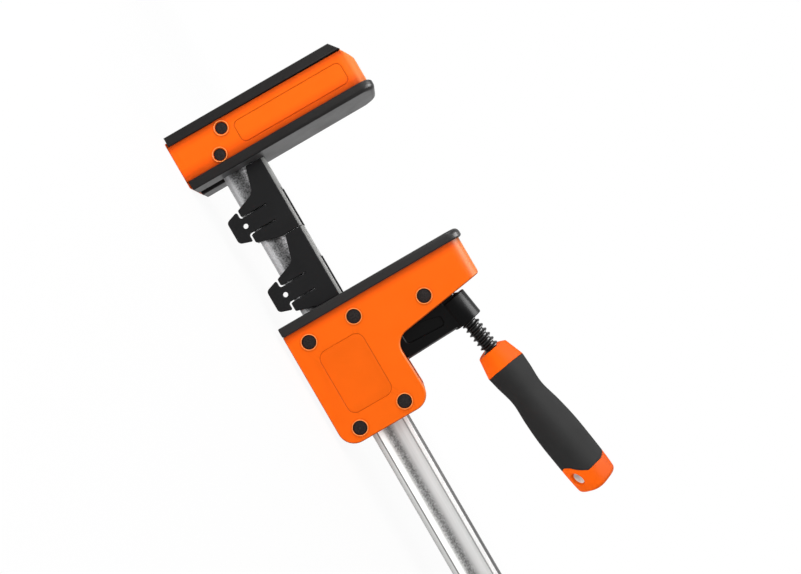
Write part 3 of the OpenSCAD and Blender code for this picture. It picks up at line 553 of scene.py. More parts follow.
class CLAMP_OT_casings(bpy.types.Operator):
    """Moulded halves of both jaws, with screw rings and the bare panel's line"""
    bl_idname = "clamp.casings"
    bl_label = "Casings"

    def execute(self, context):
        casing = context.scene.clamp.casing
        corner, notch = casing.corner / MM, casing.notch / MM

        def beak(z):
            taper = (BEAK_TIP - BEAK_ROOT) / (TIP_Z - HOUSING_Z)
            return JAW_X0 + BEAK_ROOT + taper * (z - HOUSING_Z)

        stride, gap, brim, nib = 0.9, SLIDE_GAP, 0.25, 2.6
        climb = [[beak(z), z, 0] for z in np.arange(SLOT_TOP, TIP_Z - nib - stride, stride)]
        climb.insert(1, [beak(SLOT_TOP + brim), SLOT_TOP + brim, 0])
        moving = rounded(
            [[JAW_X0, REAR_Z, 0], [JAW_X1, REAR_Z, corner],
             [JAW_X1, BAR_Z0 - gap - brim, 0], [JAW_X1, BAR_Z0 - gap, 0],
             [JAW_X1, BAR_Z1 + gap, 0], [JAW_X1, BAR_Z1 + gap + brim, 0],
             [JAW_X1, HOUSING_Z, corner - 0.5], [JAW_X0 + SLOT_FAR, HOUSING_Z, 0],
             [JAW_X0 + BEAK_ROOT, HOUSING_Z - NOTCH_FALL, notch], *climb,
             [JAW_X0 + BEAK_TIP, TIP_Z, nib], [JAW_X0, TIP_Z, 0]])
        x_cut, z_cut = TIP_CHAMFER
        share = np.linspace(0, 1, 9)
        slant = [[FIXED_X0 + x_cut * (1 - k), TIP_Z - z_cut * k, 0] for k in share]
        tip = rounded([[FIXED_X1, TIP_Z, 0], *slant, [FIXED_X0, 0, 0], [FIXED_X1, 0, 0]])
        tip = tip[tip[:, 1] > TIP_Z - z_cut - 0.01]
        rear = np.array([[FIXED_X0, 0.0], [FIXED_X1, 0.0]])
        screws = [(x, z, SCREW_R, 0.0) for x, z in SCREWS]
        bolts = [(x, z, BOLT_R, 0.4) for x, z in BOLTS]
        # Each bare panel's ends along the bar, heights, corner round and width of line
        broad_panel = (JAW_X0 + 21.0, JAW_X0 + 69.6, BAR_Z0 - 4.0, BAR_Z1 + 1.5, 6.5, 0.8)
        slim_panel = (FIXED_X0 + 6.7, FIXED_X1 - 3.5, BAR_Z1 - 3.4, TIP_Z - 11.1, 4.6, 1.0)
        ring = casing.ring / MM
        out_low, out_high, heel_round, heel_edge = FIXED_X0 - 3.5, FIXED_X1 + 5.0, 1.0, 0.5
        rear_wall = rounded([[out_low, 0, heel_round], [out_high, 0, heel_round],
                             [out_high, REAR_WALL, 0], [out_low, REAR_WALL, 0]])
        for side, word in ((-1, "front"), (1, "back")):
            front = side < 0
            half = casing_half(casing, side, [moving], screws if front else [], ring, broad_panel)
            piece(f"casing_moving_{word}", half, "jaw", "orange_casing", [f"jaw_{word}_shell"],
                  faces_to=(0, side, 0))
            half = casing_half(casing, side, [rear, tip], bolts, ring if front else 0, slim_panel)
            depths = sorted((side * PART_LINE, side * (HALF_W - heel_edge)))
            half += upright(block(rear_wall, *depths, heel_edge))
            piece(f"casing_fixed_{word}", half, "bar", "orange_casing", [f"fixed_{word}_shell"],
                  faces_to=(0, side, 0))
        return {"FINISHED"}


class CLAMP_OT_heads(bpy.types.Operator):
    """Screws of the moving jaw, bolts and nuts of the fixed jaw"""
    bl_idname = "clamp.heads"
    bl_label = "Screws and bolts"

    def execute(self, context):
        def heads(middles, side, r, shank, reach):
            """Turned heads set in the front or the back, each with its shank."""
            profile = [(-0.1, 0), (-0.1, r - 0.5), (-0.2, r - 0.25), (-0.5, r), (-HEAD_THICK, r),
                       (-HEAD_THICK, shank), (-reach, shank), (-reach, 0)]

            def facing(s, a, b):
                return np.stack([a, side * (HALF_W + s), b], -1)

            points, quads = turned(profile, facing)
            return [(points + [x, 0, z], quads) for x, z in middles]

        through_jaw, flush = 2 * HALF_W - HEAD_THICK, HEAD_THICK + 0.01
        screws = heads(SCREWS, -1, SCREW_R, 1.8, 30)
        bolts = heads(BOLTS, -1, BOLT_R, 3.0, through_jaw)
        nuts = heads(BOLTS, 1, BOLT_R, 3.2, flush)
        for name, made, body, cad in (("casing_screws", screws, "jaw", "jaw_screws"),
                                      ("core_bolts", bolts, "bar", "fixed_jaw_bolts"),
                                      ("core_nuts", nuts, "bar", "fixed_jaw_nuts")):
            piece(name, made, body, "dark_fastener", [cad])
        return {"FINISHED"}


class CLAMP_OT_pads(bpy.types.Operator):
    """Clamping pads with the bar's slot, and the plain spreader pad"""
    bl_idname = "clamp.pads"
    bl_label = "Pads"

    def execute(self, context):
        pads = context.scene.clamp.pads
        tip, edge = pads.tip / MM, pads.edge / MM
        slot = BAR_HALF + SLIDE_GAP
        top = BAR_Z1 + SLIDE_GAP
        nose = pads.nose / MM
        toe, arch = 1.3, 0.6

        def plate(rear):
            return rounded([[-PAD_HALF, rear, toe], [-slot, rear, 0], [-slot, top, arch],
                            [slot, top, arch], [slot, rear, 0], [PAD_HALF, rear, toe],
                            [PAD_HALF, PAD_Z, tip], [-PAD_HALF, PAD_Z, tip]], 12)

        def cushion(loop, seat, face, side=0.0):
            """Pad: an outline carried from its seat to its face; the face's rim is a quarter round that grows from
            the edge to the nose over the last part before the tip. The side is the tone of its edges, a painted
            sheen; the face has tone 1, a painted reflection that mixes it to the pads' face colour."""
            k = np.clip((loop[:, 1] - (PAD_Z - 2 * nose - tip)) / (tip + nose), 0, 1)
            rim = edge + (nose - edge) * k * k * (3 - 2 * k)
            a = quarter(8)[:, None]
            none, thick = np.zeros_like(rim), abs(face - seat)
            inset = np.concatenate([[none + edge + LAND, none + edge, none], rim * (1 - np.cos(a)),
                                    [rim + LAND]])
            off = np.concatenate([[none, none, none + edge], thick - rim * (1 - np.sin(a)),
                                  [none + thick]])
            at = loop - mitre(loop) * inset[..., None]
            rows = lift(at, seat + np.sign(face - seat) * off)
            skin, back, front = along_bar(capped(rows))
            pale = np.full(len(rows), side)
            pale[-1] = 1.0
            return [(*skin, np.repeat(pale, len(loop))), (*back, np.full(len(back[0]), side)),
                    (*front, np.ones(len(front[0])))]

        # Painted sheen on the edges of the moving pad
        painted_sheen = 0.17
        piece("pad_fixed", cushion(plate(REAR_WALL + SLIDE_GAP), FIXED_X1, FACE_X), "bar",
              "pad_plastic", ["fixed_clamp_pad"])
        piece("pad_moving", cushion(plate(REAR_Z), JAW_X0, low("jaw_clamp_pad", 0), painted_sheen), "jaw",
              "pad_plastic", ["jaw_clamp_pad"])
        slant_x, slant_z = TIP_CHAMFER
        thick = FIXED_X0 - SPREADER_X
        top_in = TIP_Z - slant_z
        top_out = top_in - thick * slant_z / slant_x
        rear = REAR_WALL + SLIDE_GAP
        side_view = np.array([[SPREADER_X, rear], [FIXED_X0, rear], [FIXED_X0, top_in],
                              [SPREADER_X, top_out]])
        piece("pad_spreader", upright(block(side_view, -PAD_HALF, PAD_HALF, edge)), "bar",
              "pad_plastic", ["spreader_pad"])
        return {"FINISHED"}


class CLAMP_OT_bar(bpy.types.Operator):
    """Rolled bar with a channel in each side and fine teeth on its throat edge, and its end cap"""
    bl_idname = "clamp.bar"
    bl_label = "Bar"

    def execute(self, context):
        bar = context.scene.clamp.bar
        sag = bar.sag / MM
        z0, z1 = BAR_Z0 + bar.rear_flange / MM, BAR_Z1 - bar.throat_flange / MM
        half = (z1 - z0) / 2
        bend = (half ** 2 + sag ** 2) / (2 * sag)
        z = np.linspace(z0, z1, 25)
        dip = np.sqrt(bend ** 2 - (z - z0 - half) ** 2) - (bend - sag)
        nick, slant, slant_in = 0.5, 1.8, 0.9
        front = np.column_stack([-BAR_HALF + dip, z])
        rim = np.array([[-BAR_HALF + nick, BAR_Z0], [-BAR_HALF, BAR_Z0 + nick]])
        crown = np.array([[-BAR_HALF, BAR_Z1 - slant], [-BAR_HALF + slant_in, BAR_Z1]])
        one = np.vstack([rim, front, crown])
        loop = np.vstack([one * [-1, 1], one[::-1]])
        bitten = (loop[:, 1] > BAR_Z1 - 0.1).astype(float)
        rows = np.arange(BAR_X0, BAR_X1 + 0.01, bar.tooth / MM / 2)
        rows[-1] = BAR_X1
        cut = np.where(np.arange(len(rows)) % 2 == 1, bar.bite / MM, 0)
        at = np.repeat(loop[None], len(rows), 0)
        at[..., 1] -= cut[:, None] * bitten
        sweep = lift(at, rows[:, None])
        piece("bar_rail", along_bar(capped(sweep)), "bar", "zinc_bar", ["bar"], crease=18)
        wall, cap_round, cap_edge = high("bar_end_cap", 1), 2.0, 1.2
        drop = BAR_Z0 - low("bar_end_cap", 2)
        sleeve = oblong(-wall, wall, BAR_Z0 - drop, BAR_Z1 + drop, cap_round)
        piece("bar_cap", along_bar(block(sleeve, low("bar_end_cap", 0), CAP_X1, cap_edge)), "bar",
              "support_plastic", ["bar_end_cap"])
        return {"FINISHED"}


class CLAMP_OT_supports(bpy.types.Operator):
    """Two clip-on work supports, each with a sprung tongue and a pull tab"""
    bl_idname = "clamp.supports"
    bl_label = "Work supports"

    def execute(self, context):
        edge = context.scene.clamp.supports.edge / MM
        inner = BAR_HALF + SLIDE_GAP
        outer = high("upper_support", 1)
        hook, foot_high, foot_in = -2.5, 2.2, 0.5
        for name in ("upper", "lower"):
            body = f"{name}_support"
            x = low(body, 0)
            # Along the bar, height over its rear edge and round of each corner
            face = [[0, 17.9, 0.8], [18.7, 12.4, 6], [24.4, hook, 1.4], [29.5, hook, 1.8],
                    [29.5, 17.0, 0], [30.4, 17.0, 0], [30.4, -3.8, 1.8], [24.7, -3.8, 1],
                    [27.9, -13.2, 3.2], [44.9, -13.2, 3.2], [48.1, -3.8, 1],
                    [42.4, -3.8, 1.8], [42.4, 17.0, 0], [43.3, 17.0, 0], [43.3, hook, 1.8],
                    [50.0, hook, 1.4], [54.8, 14.5, 0.8], [54.8, 29.8, 0], [0, 29.8, 0]]
            face = rounded([[x + a, BAR_Z0 + b, c] for a, b, c in face], 5)
            hole = circle(x + 36.4, BAR_Z0 - 2.9, 1.8)
            wall = oblong(x + 24.4, x + 54.8, BAR_Z0, BAR_Z0 + 32.3)
            strip = np.array([[0, 29.3], [54.8, 29.3], [54.8, 31.2], [24.4, 31.2], [24.4, 32.0],
                              [0, 32.0]]) + [x, BAR_Z0]
            parts = upright(block(face, -outer, -inner, edge, [hole]))
            parts += upright(block(wall, inner, outer, edge))
            pale = upright(block(strip, -inner, inner, edge))
            parts += [(p, f, np.ones(len(p))) for p, f in pale]
            foot_z = BAR_Z0 + hook
            for a, b in ((25.0, 29.0), (43.8, 49.4)):
                foot = oblong(x + a, x + b, foot_z, foot_z + foot_high)
                parts += upright(block(foot, -outer + foot_in, outer, edge / 2))
            piece(f"support_{name}", parts, body, "support_plastic", [body])
        return {"FINISHED"}


class CLAMP_OT_arm(bpy.types.Operator):
    """Cast clamping arm with its sunk panels and the boss for the screw"""
    bl_idname = "clamp.arm"
    bl_label = "Clamping arm"

    def execute(self, context):
        arm = context.scene.clamp.arm
        edge, boss = arm.edge / MM, arm.boss / 2 / MM
        wide, bore, play = 8.5, 6.8, 0.1
        start, end, out_z = JAW_X0 + 33.0, JAW_X0 + 53.5, HOUSING_Z + 0.2
        boss_z = BALL[2] - boss
        z_low, z_high = BAR_Z0 - ARM_GAP, BAR_Z1 + ARM_GAP
        foot_z = low("clamp_arm", 2)
        # The boss's ends along the screw and the round of its lips; the blade's reach behind it
        s0, s1, lip, behind = 9.0, 29.2, 0.8, 7.0

        def beside(s, a):
            return [float(v) for v in (BALL + s * ALONG + a * REARWARD)[[0, 2]]]

        def pair(loop, near, far, rim):
            """Two like cheeks, one on each side of the middle."""
            return upright(block(loop, -far, -near, rim) + block(loop, near, far, rim))

        neck = 1.4
        base, head = [end + 2 * neck, out_z], beside(s1 - lip, behind)
        blade = rounded([[start, z_high, 0], [end + neck, z_high, 0], [end + neck, out_z, 0],
                         [*base, 0], [*head, 0], [*beside(s0, behind), 0],
                         [start, beside(7.5, behind)[1], 0]])
        panel_low, panel_high = out_z + 4, boss_z - 0.3
        sunk = rounded([[start + 2.5, panel_low, 3], [end - 6.8, panel_low, 3],
                        [end - 5.4, panel_high, 2.5], [start + 8, panel_high, 2.5],
                        [start + 4, boss_z - 17, 3]])
        parts = upright(block(blade, -wide, wide, edge, sunk=[sunk], sink=arm.recess / MM))
        # The rim along the outer edge is painted paler: a painted highlight
        base, head = np.array(base), np.array(head)
        normal = np.array([head[1] - base[1], base[0] - head[0]]) / np.linalg.norm(head - base)
        for i, (p, f) in enumerate(parts):
            deep = (base - p[:, [0, 2]]) @ normal
            painted_sheen = (deep > 0.3) & (deep < 1.2) & (abs(p[:, 1]) > wide - edge * 0.6)
            parts[i] = (p, f, painted_sheen * 1.0)
        slim, blunt = 0.3, 0.4
        parts += pair(oblong(start, end, foot_z, z_high + 0.5), BAR_HALF + ARM_GAP, wide, slim)
        parts += upright(block(oblong(start, end, foot_z, z_low), -wide, wide, slim))
        # Cheeks beside the screw close the arm's slot up to the beak
        fore, rear = start - 1.4, start + 6
        ear = np.array([[fore, boss_z], [rear, boss_z], [rear, BALL[2]], [fore, BALL[2] + 3.6]])
        parts += pair(ear, bore + play, wide - 0.2, blunt)
        web = np.array([beside(28.0, 9.5), beside(28.0, 5.0), beside(9.4, 5.0), beside(9.4, 9.5)])
        parts += pair(web, bore + play, wide - 0.02, slim)
        a = quarter(5)
        rim = lip * (1 - np.column_stack([np.sin(a), np.cos(a)]))
        tube = np.vstack([[[s0, bore]], [s0, boss] + rim[::-1] * [1, -1], [s1, boss] - rim,
                          [[s1, bore], [s0, bore]]])
        parts.append(turned(tube, on_spindle, 72))
        piece("arm_casting", parts, "arm", "black_casting", ["clamp_arm"])
        return {"FINISHED"}


class CLAMP_OT_screw(bpy.types.Operator):
    """Spindle with a right-hand thread, its ball end and the shank in the handle"""
    bl_idname = "clamp.screw"
    bl_label = "Spindle"

    def execute(self, context):
        screw = context.scene.clamp.screw
        crest, root, pitch = screw.crest / 2 / MM, screw.root / 2 / MM, screw.pitch / MM
        s0, s1, tail = 7.0, 56.5, 60.0
        # Share of the pitch and of the thread's height at each point across one thread
        share = np.array([0, 0.12, 0.18, 0.40, 0.44, 0.56, 0.60, 0.82, 0.88, 1.0])
        reach = root + (crest - root) * np.array([0, 0, 0.08, 0.94, 1, 1, 0.94, 0.08, 0, 0])
        turns = (s1 - s0) / pitch + 2
        t = np.linspace(0, turns * 2 * np.pi, int(turns * 40))
        s = np.clip(s0 + pitch * (t[:, None] / (2 * np.pi) - 1.5 + share), s0, s1)
        rows = on_spindle(s, reach * np.cos(t)[:, None], reach * np.sin(t)[:, None])
        ball, neck, shank = 5.0, 3.25, 5.0
        a = np.radians(np.linspace(180, 42, 14))
        body = [(ball * np.cos(k), ball * np.sin(k)) for k in a]
        under = root - 0.1
        body += [(ball * np.cos(a[-1]) + 0.6, neck), (s0, neck), (s0, root), (s0 + 0.01, under),
                 (s1, under), (s1, shank), (s1 + tail, shank), (s1 + tail, 0)]
        piece("spindle_thread", [grid(rows, ring=False), turned(body, on_spindle)], "handle",
              "black_screw", ["spindle"])
        return {"FINISHED"}


class CLAMP_OT_handle(bpy.types.Operator):
    """Handle with a rounded square section: hard collar and end, soft grip between them"""
    bl_idname = "clamp.handle"
    bl_label = "Handle"

    def execute(self, context):
        h = context.scene.clamp.handle
        flare, waist, palm, heel, collar, hole = (
            v / MM for v in (h.flare, h.waist, h.palm, h.heel, h.collar, h.hole / 2))
        t = around(144)
        square = 3.0
        c, s = np.abs(np.cos(t - HANG_TURN)), np.abs(np.sin(t - HANG_TURN))
        section = (c ** square + s ** square) ** (-1 / square)
        collar_at, grip_at, end_at = 56.0, 71.0, 174.6
        # Places along the spindle, and half the handle's width at each
        stations = [grip_at, 79.1, 94.9, 110.8, 124.6, 148.3, 164.2, end_at]
        widths = [flare, flare - 0.6, waist, waist + 1.6, palm - 0.2, palm, palm - 0.3, heel]

        def width(s):
            return through(s, stations, widths)

        def rows(s, r):
            s, r = np.broadcast_arrays(s, r)
            r = r * section
            return on_spindle(s, r * np.cos(t), r * np.sin(t))

        # Border of the soft grip: level on two faces, arched up round the hanging hole
        arch_at, border_at = -18, 162.0
        from_arch = np.abs((np.degrees(t) - arch_at + 180) % 360 - 180)
        rise = np.interp(from_arch, [0, 25, 67, 121, 180], [10.0, 7.8, 0.0, 0.0, 6.2])
        scallop = 3.0 * (np.sqrt(np.sin(t) ** 2 + 0.02) - 0.14)
        border = border_at - scallop - rise
        core, gap, tuck, stem = 8.5, 0.35, 0.5, 60.0
        grip_from = grip_at - scallop + 0.1
        s = grip_from + np.linspace(0, 1, 60)[:, None] * (border - gap - grip_from)
        soft = np.concatenate([[s[0], s[0]], s, [s[-1], s[-1], s[0]]])
        inner = np.full(t.shape, core)
        bulk = np.concatenate([[inner, width(s[0]) - tuck], width(s),
                               [width(s[-1]) - tuck, inner, inner]])
        piece("handle_soft_grip", [grid(rows(soft, bulk))], "handle", "grip_rubber",
              ["handle_grip"])
        cone = [(collar_at, 0), (collar_at, collar - 0.7), (collar_at + 0.3, collar - 0.2),
                (collar_at + 1.0, collar), (grip_at - 0.4, flare), (grip_at, flare - 0.3),
                (grip_at, core), (grip_at + stem, core), (grip_at + stem, 0)]
        cone_s, cone_r = np.array(cone).T[..., None]
        cone = grid(rows(cone_s - scallop * cone_r / flare, cone_r))
        bend = 3.4
        turn_at = end_at - bend
        s = border + np.linspace(0, 1, 16)[:, None] * (turn_at - border)
        a = quarter(9)[1:, None]
        cap_s = np.broadcast_to(turn_at + bend * np.sin(a), (len(a), len(t)))
        cap_r = np.broadcast_to(width(np.array(turn_at)) - bend * (1 - np.cos(a)), cap_s.shape)
        dome = np.linspace(0.8, 0, 5)[:, None]
        dome_s = np.broadcast_to(end_at + 0.6 * (1 - dome ** 2), (len(dome), len(t)))
        end_s = np.concatenate([[border, border], s, cap_s, dome_s])
        end_r = np.concatenate([[np.zeros(t.shape), width(border) - 0.3], width(s), cap_r,
                                cap_r[-1] * dome])
        end = piece("handle_hard_end", [cone, grid(rows(end_s, end_r))], "handle", "handle_plastic",
                    ["handle_core"])

        def bored(s, a, b):
            ca, sa = np.cos(HANG_TURN), np.sin(HANG_TURN)
            return on_spindle(HANG_AT + a, s * ca - b * sa, s * sa + b * ca)

        far, slope, sunk = 30.0, 0.69, heel - 1.6
        wide = hole + slope * (far - sunk)
        points, quads = turned([(-far, 0), (-far, wide), (-sunk, hole), (sunk, hole), (far, wide),
                                (far, 0)], bored, 64)
        tool = bpy.data.objects.new("drill", welded("drill", points, quads.tolist()))
        context.scene.collection.objects.link(tool)
        cut = end.modifiers.new("hanging hole", "BOOLEAN")
        cut.operation, cut.solver, cut.object = "DIFFERENCE", "EXACT", tool
        context.view_layer.update()
        done = bpy.data.meshes.new_from_object(end.evaluated_get(context.evaluated_depsgraph_get()))
        end.modifiers.remove(cut)
        old = end.data
        end.data = done
        done.name = "handle_hard_end"
        smooth(done)
        bpy.data.meshes.remove(old)
        bpy.data.objects.remove(tool)
        return {"FINISHED"}


# Finishes


VECTOR, NUMBER, COLOUR = "NodeSocketVector", "NodeSocketFloat", "NodeSocketColor"


def socket_group(name, inputs, outputs):
    """Shader group with named sockets: the group, what comes into it and what goes out."""
    group = bpy.data.node_groups.new(name, "ShaderNodeTree")
    for label, kind, value in inputs:
        made = group.interface.new_socket(label, in_out="INPUT", socket_type=kind)
        if value is not None:
            made.default_value = value
    for label, kind in outputs:
        group.interface.new_socket(label, in_out="OUTPUT", socket_type=kind)
    come, go = group.nodes.new("NodeGroupInput"), group.nodes.new("NodeGroupOutput")
    return group, come.outputs, go.inputs


def emptied(owner):
    """Node tree of a material or world, with nothing in it."""
    owner.use_nodes = True
    owner.node_tree.nodes.clear()
    return owner.node_tree


def node(tree, kind, links=None, **values):
    """One node with its settings; its inputs are set, or linked from other nodes' outputs."""
    made = tree.nodes.new(kind)
    for key, value in values.items():
        setattr(made, key, value)
    for key, value in (links or {}).items():
        found = [i for i in made.inputs if i.enabled and i.name == key]
        socket = found[0] if found else made.inputs[key]
        if isinstance(value, bpy.types.NodeSocket):
            tree.links.new(value, socket)
        else:
            socket.default_value = value
    return made


def use(tree, group, **links):
    """Node of a shader group."""
    return node(tree, "ShaderNodeGroup", links, node_tree=bpy.data.node_groups[group])


def calc(tree, operation, *values, **more):
    made = node(tree, "ShaderNodeMath", dict(enumerate(values)), operation=operation, **more)
    return made.outputs[0]


def vector(tree, operation, *values, **links):
    links.update(enumerate(values))
    made = node(tree, "ShaderNodeVectorMath", links, operation=operation)
    return made.outputs["Value" if operation == "LENGTH" else "Vector"]


def noise(tree, point, scale, detail=2.0):
    links = {"Vector": point, "Scale": scale, "Detail": detail}
    return node(tree, "ShaderNodeTexNoise", links).outputs["Fac"]


def span(tree, value, low_from, high_from, low_to=0.0, high_to=1.0, **more):
    """Value carried from one range to another."""
    links = {"Value": value, "From Min": low_from, "From Max": high_from, "To Min": low_to,
             "To Max": high_to}
    return node(tree, "ShaderNodeMapRange", links, **more).outputs["Result"]


def ramp(tree, value, stops, cast=(1.0, 1.0, 1.0)):
    """Colour by a value, over stops of places and greys, each grey times a cast."""
    made = node(tree, "ShaderNodeValToRGB", {"Fac": value})
    points = made.color_ramp.elements
    while len(points) < len(stops):
        points.new(0.5)
    for stop, (where, grey) in zip(points, stops):
        stop.position = where
        stop.color = (*(min(1.0, grey * k) for k in cast), 1)
    return made.outputs["Color"]


def blend(tree, share, first, second):
    """Colour between two others."""
    made = node(tree, "ShaderNodeMix", {"Factor": share, "A": first, "B": second}, data_type="RGBA")
    return next(o for o in made.outputs if o.enabled)


def moulded_grain():
    """Grain of a moulded or cast face: fine noise for its height and broad noise for its mottle."""
    group, come, go = socket_group(
        "moulded grain",
        [("Point", VECTOR, None), ("Fine", NUMBER, 1500.0), ("Broad", NUMBER, 60.0)],
        [("Height", NUMBER), ("Mottle", NUMBER)])
    group.links.new(noise(group, come["Point"], come["Fine"], 3.0), go["Height"])
    group.links.new(noise(group, come["Point"], come["Broad"], 4.0), go["Mottle"])


def toned():
    """Colour lightened and darkened by a mask round its middle, by an amount."""
    group, come, go = socket_group(
        "toned", [("Colour", COLOUR, GREY), ("Mask", NUMBER, 0.5), ("Amount", NUMBER, 0.1)],
        [("Colour", COLOUR)])
    centred = calc(group, "SUBTRACT", come["Mask"], 0.5)
    scaled = calc(group, "MULTIPLY_ADD", centred, come["Amount"], 1.0)
    group.links.new(vector(group, "SCALE", come["Colour"], Scale=scaled), go["Colour"])


def lit_rim():
    """Colour mixed towards a second one where the tone is over 0, and darkened under 0."""
    group, come, go = socket_group(
        "lit rim", [("Colour", COLOUR, GREY), ("Tone", NUMBER, 0.0), ("Pale", COLOUR, WHITE)],
        [("Colour", COLOUR)])
    loss = 0.35
    up = calc(group, "MULTIPLY", come["Tone"], 1.0, use_clamp=True)
    paler = blend(group, up, come["Colour"], come["Pale"])
    dim = calc(group, "MULTIPLY_ADD", calc(group, "MINIMUM", come["Tone"], 0.0), loss, 1.0)
    group.links.new(vector(group, "SCALE", paler, Scale=dim), go["Colour"])


def painted_pad_shade():
    """Painted shade on the casing near the pads: its colour darkened by a curve over the distance to the nearest
    seat; and a painted highlight, paler, on the slope at the tip."""
    group, come, go = socket_group(
        "beside the pads",
        [("Colour", COLOUR, GREY), ("Pale", COLOUR, GREY), ("Point", VECTOR, None)],
        [("Colour", COLOUR)])
    axis = node(group, "ShaderNodeSeparateXYZ", {"Vector": come["Point"]}).outputs
    near = None
    for seat, reach in ((FIXED_X0, 7.0), (FIXED_X1, 10.0), (JAW_X0, 7.0)):
        away = calc(group, "ABSOLUTE", calc(group, "SUBTRACT", axis["X"], seat * MM))
        share = calc(group, "DIVIDE", away, reach * MM)
        near = calc(group, "MINIMUM", near, share) if near else share
    # Painted shade: darkest at the seat, fading out away from it
    stops = [(0.0, 0.28), (0.14, 0.46), (0.3, 0.55), (0.5, 0.72), (0.7, 0.88), (0.95, 1.0)]
    pad_shaded = vector(group, "MULTIPLY", come["Colour"], ramp(group, near, stops, (1.25, 1.0, 1.0)))
    # Painted highlight on the slope at the tip
    band = span(group, axis["Z"], (TIP_Z - 7.0) * MM, (TIP_Z - 4.5) * MM, 0.0, 0.38)
    group.links.new(blend(group, band, pad_shaded, come["Pale"]), go["Colour"])


def finish(slot, tint, rough, metallic=0.0, specular=0.5, fine=1500.0, broad=60.0, amount=0.15,
           bump=0.00002, pale=GREY[:3]):
    """Finish of one slot: colour with mottle, roughness with mottle and a fine bump. Gives its tree, its point in
    space, and the nodes that tone its colour and that paint light and shade on it by the tone of its points."""
    tree = emptied(bpy.data.materials.new(f"{slot} finish"))
    point = node(tree, "ShaderNodeTexCoord").outputs["Object"]
    grain = use(tree, "moulded grain", Point=point, Fine=fine, Broad=broad).outputs
    tone = use(tree, "toned", Colour=(*tint, 1), Mask=grain["Mottle"], Amount=amount)
    painted_tone = node(tree, "ShaderNodeAttribute", attribute_name="tone")
    lit = use(tree, "lit rim", Colour=tone.outputs["Colour"], Tone=painted_tone.outputs["Fac"],
              Pale=(*pale, 1))
    swing = 0.05
    rub = span(tree, grain["Mottle"], 0.3, 0.7, rough - swing, rough + swing)
    raised = node(tree, "ShaderNodeBump", {"Height": grain["Height"], "Strength": 1.0,
                                           "Distance": bump})
    skin = node(tree, "ShaderNodeBsdfPrincipled", {
        "Base Color": lit.outputs["Colour"], "Roughness": rub, "Normal": raised.outputs["Normal"],
        "Metallic": metallic, "Specular IOR Level": specular})
    node(tree, "ShaderNodeOutputMaterial", {"Surface": skin.outputs["BSDF"]})
    return tree, point, tone, lit


def casing_finish(casing):
    """Orange plastic, with painted shade beside the pads and a painted highlight on the slope at the tip."""
    tree, point, tone, lit = finish("orange_casing", casing.tint, 0.42, specular=0.07, amount=0.08,
                                    pale=casing.rim)
    shade = use(tree, "beside the pads", Colour=tone.outputs["Colour"], Pale=(*casing.rim, 1),
                Point=point)
    tree.links.new(shade.outputs["Colour"], lit.inputs["Colour"])


def handle_finish(handle):
    """Orange plastic, painted pale on the wall of the hanging hole to stand for light seen through it, and with
    painted shade on its lip, by the distance to the hole's own line."""
    tree, point, _, lit = finish("handle_plastic", handle.tint, 0.5, specular=0.03, amount=0.08,
                                 pale=handle.bore)
    centre = on_spindle(HANG_AT, 0.0, 0.0)
    line = on_spindle(HANG_AT, np.cos(HANG_TURN), np.sin(HANG_TURN)) - centre
    away = vector(tree, "SUBTRACT", point, tuple(centre * MM))
    away = vector(tree, "LENGTH", vector(tree, "CROSS_PRODUCT", away, tuple(line)))
    radius, wall_out, lip_out, through_light_tone, lip_shade_tone = handle.hole / 2, 0.1 * MM, 1.05 * MM, 1.6, -0.6
    # Painted light on the hole's wall and painted shade on its lip
    wall = calc(tree, "LESS_THAN", away, radius + wall_out)
    lip = calc(tree, "MULTIPLY", calc(tree, "LESS_THAN", away, radius + lip_out), lip_shade_tone)
    tree.links.new(calc(tree, "MULTIPLY_ADD", wall, through_light_tone, lip), lit.inputs["Tone"])


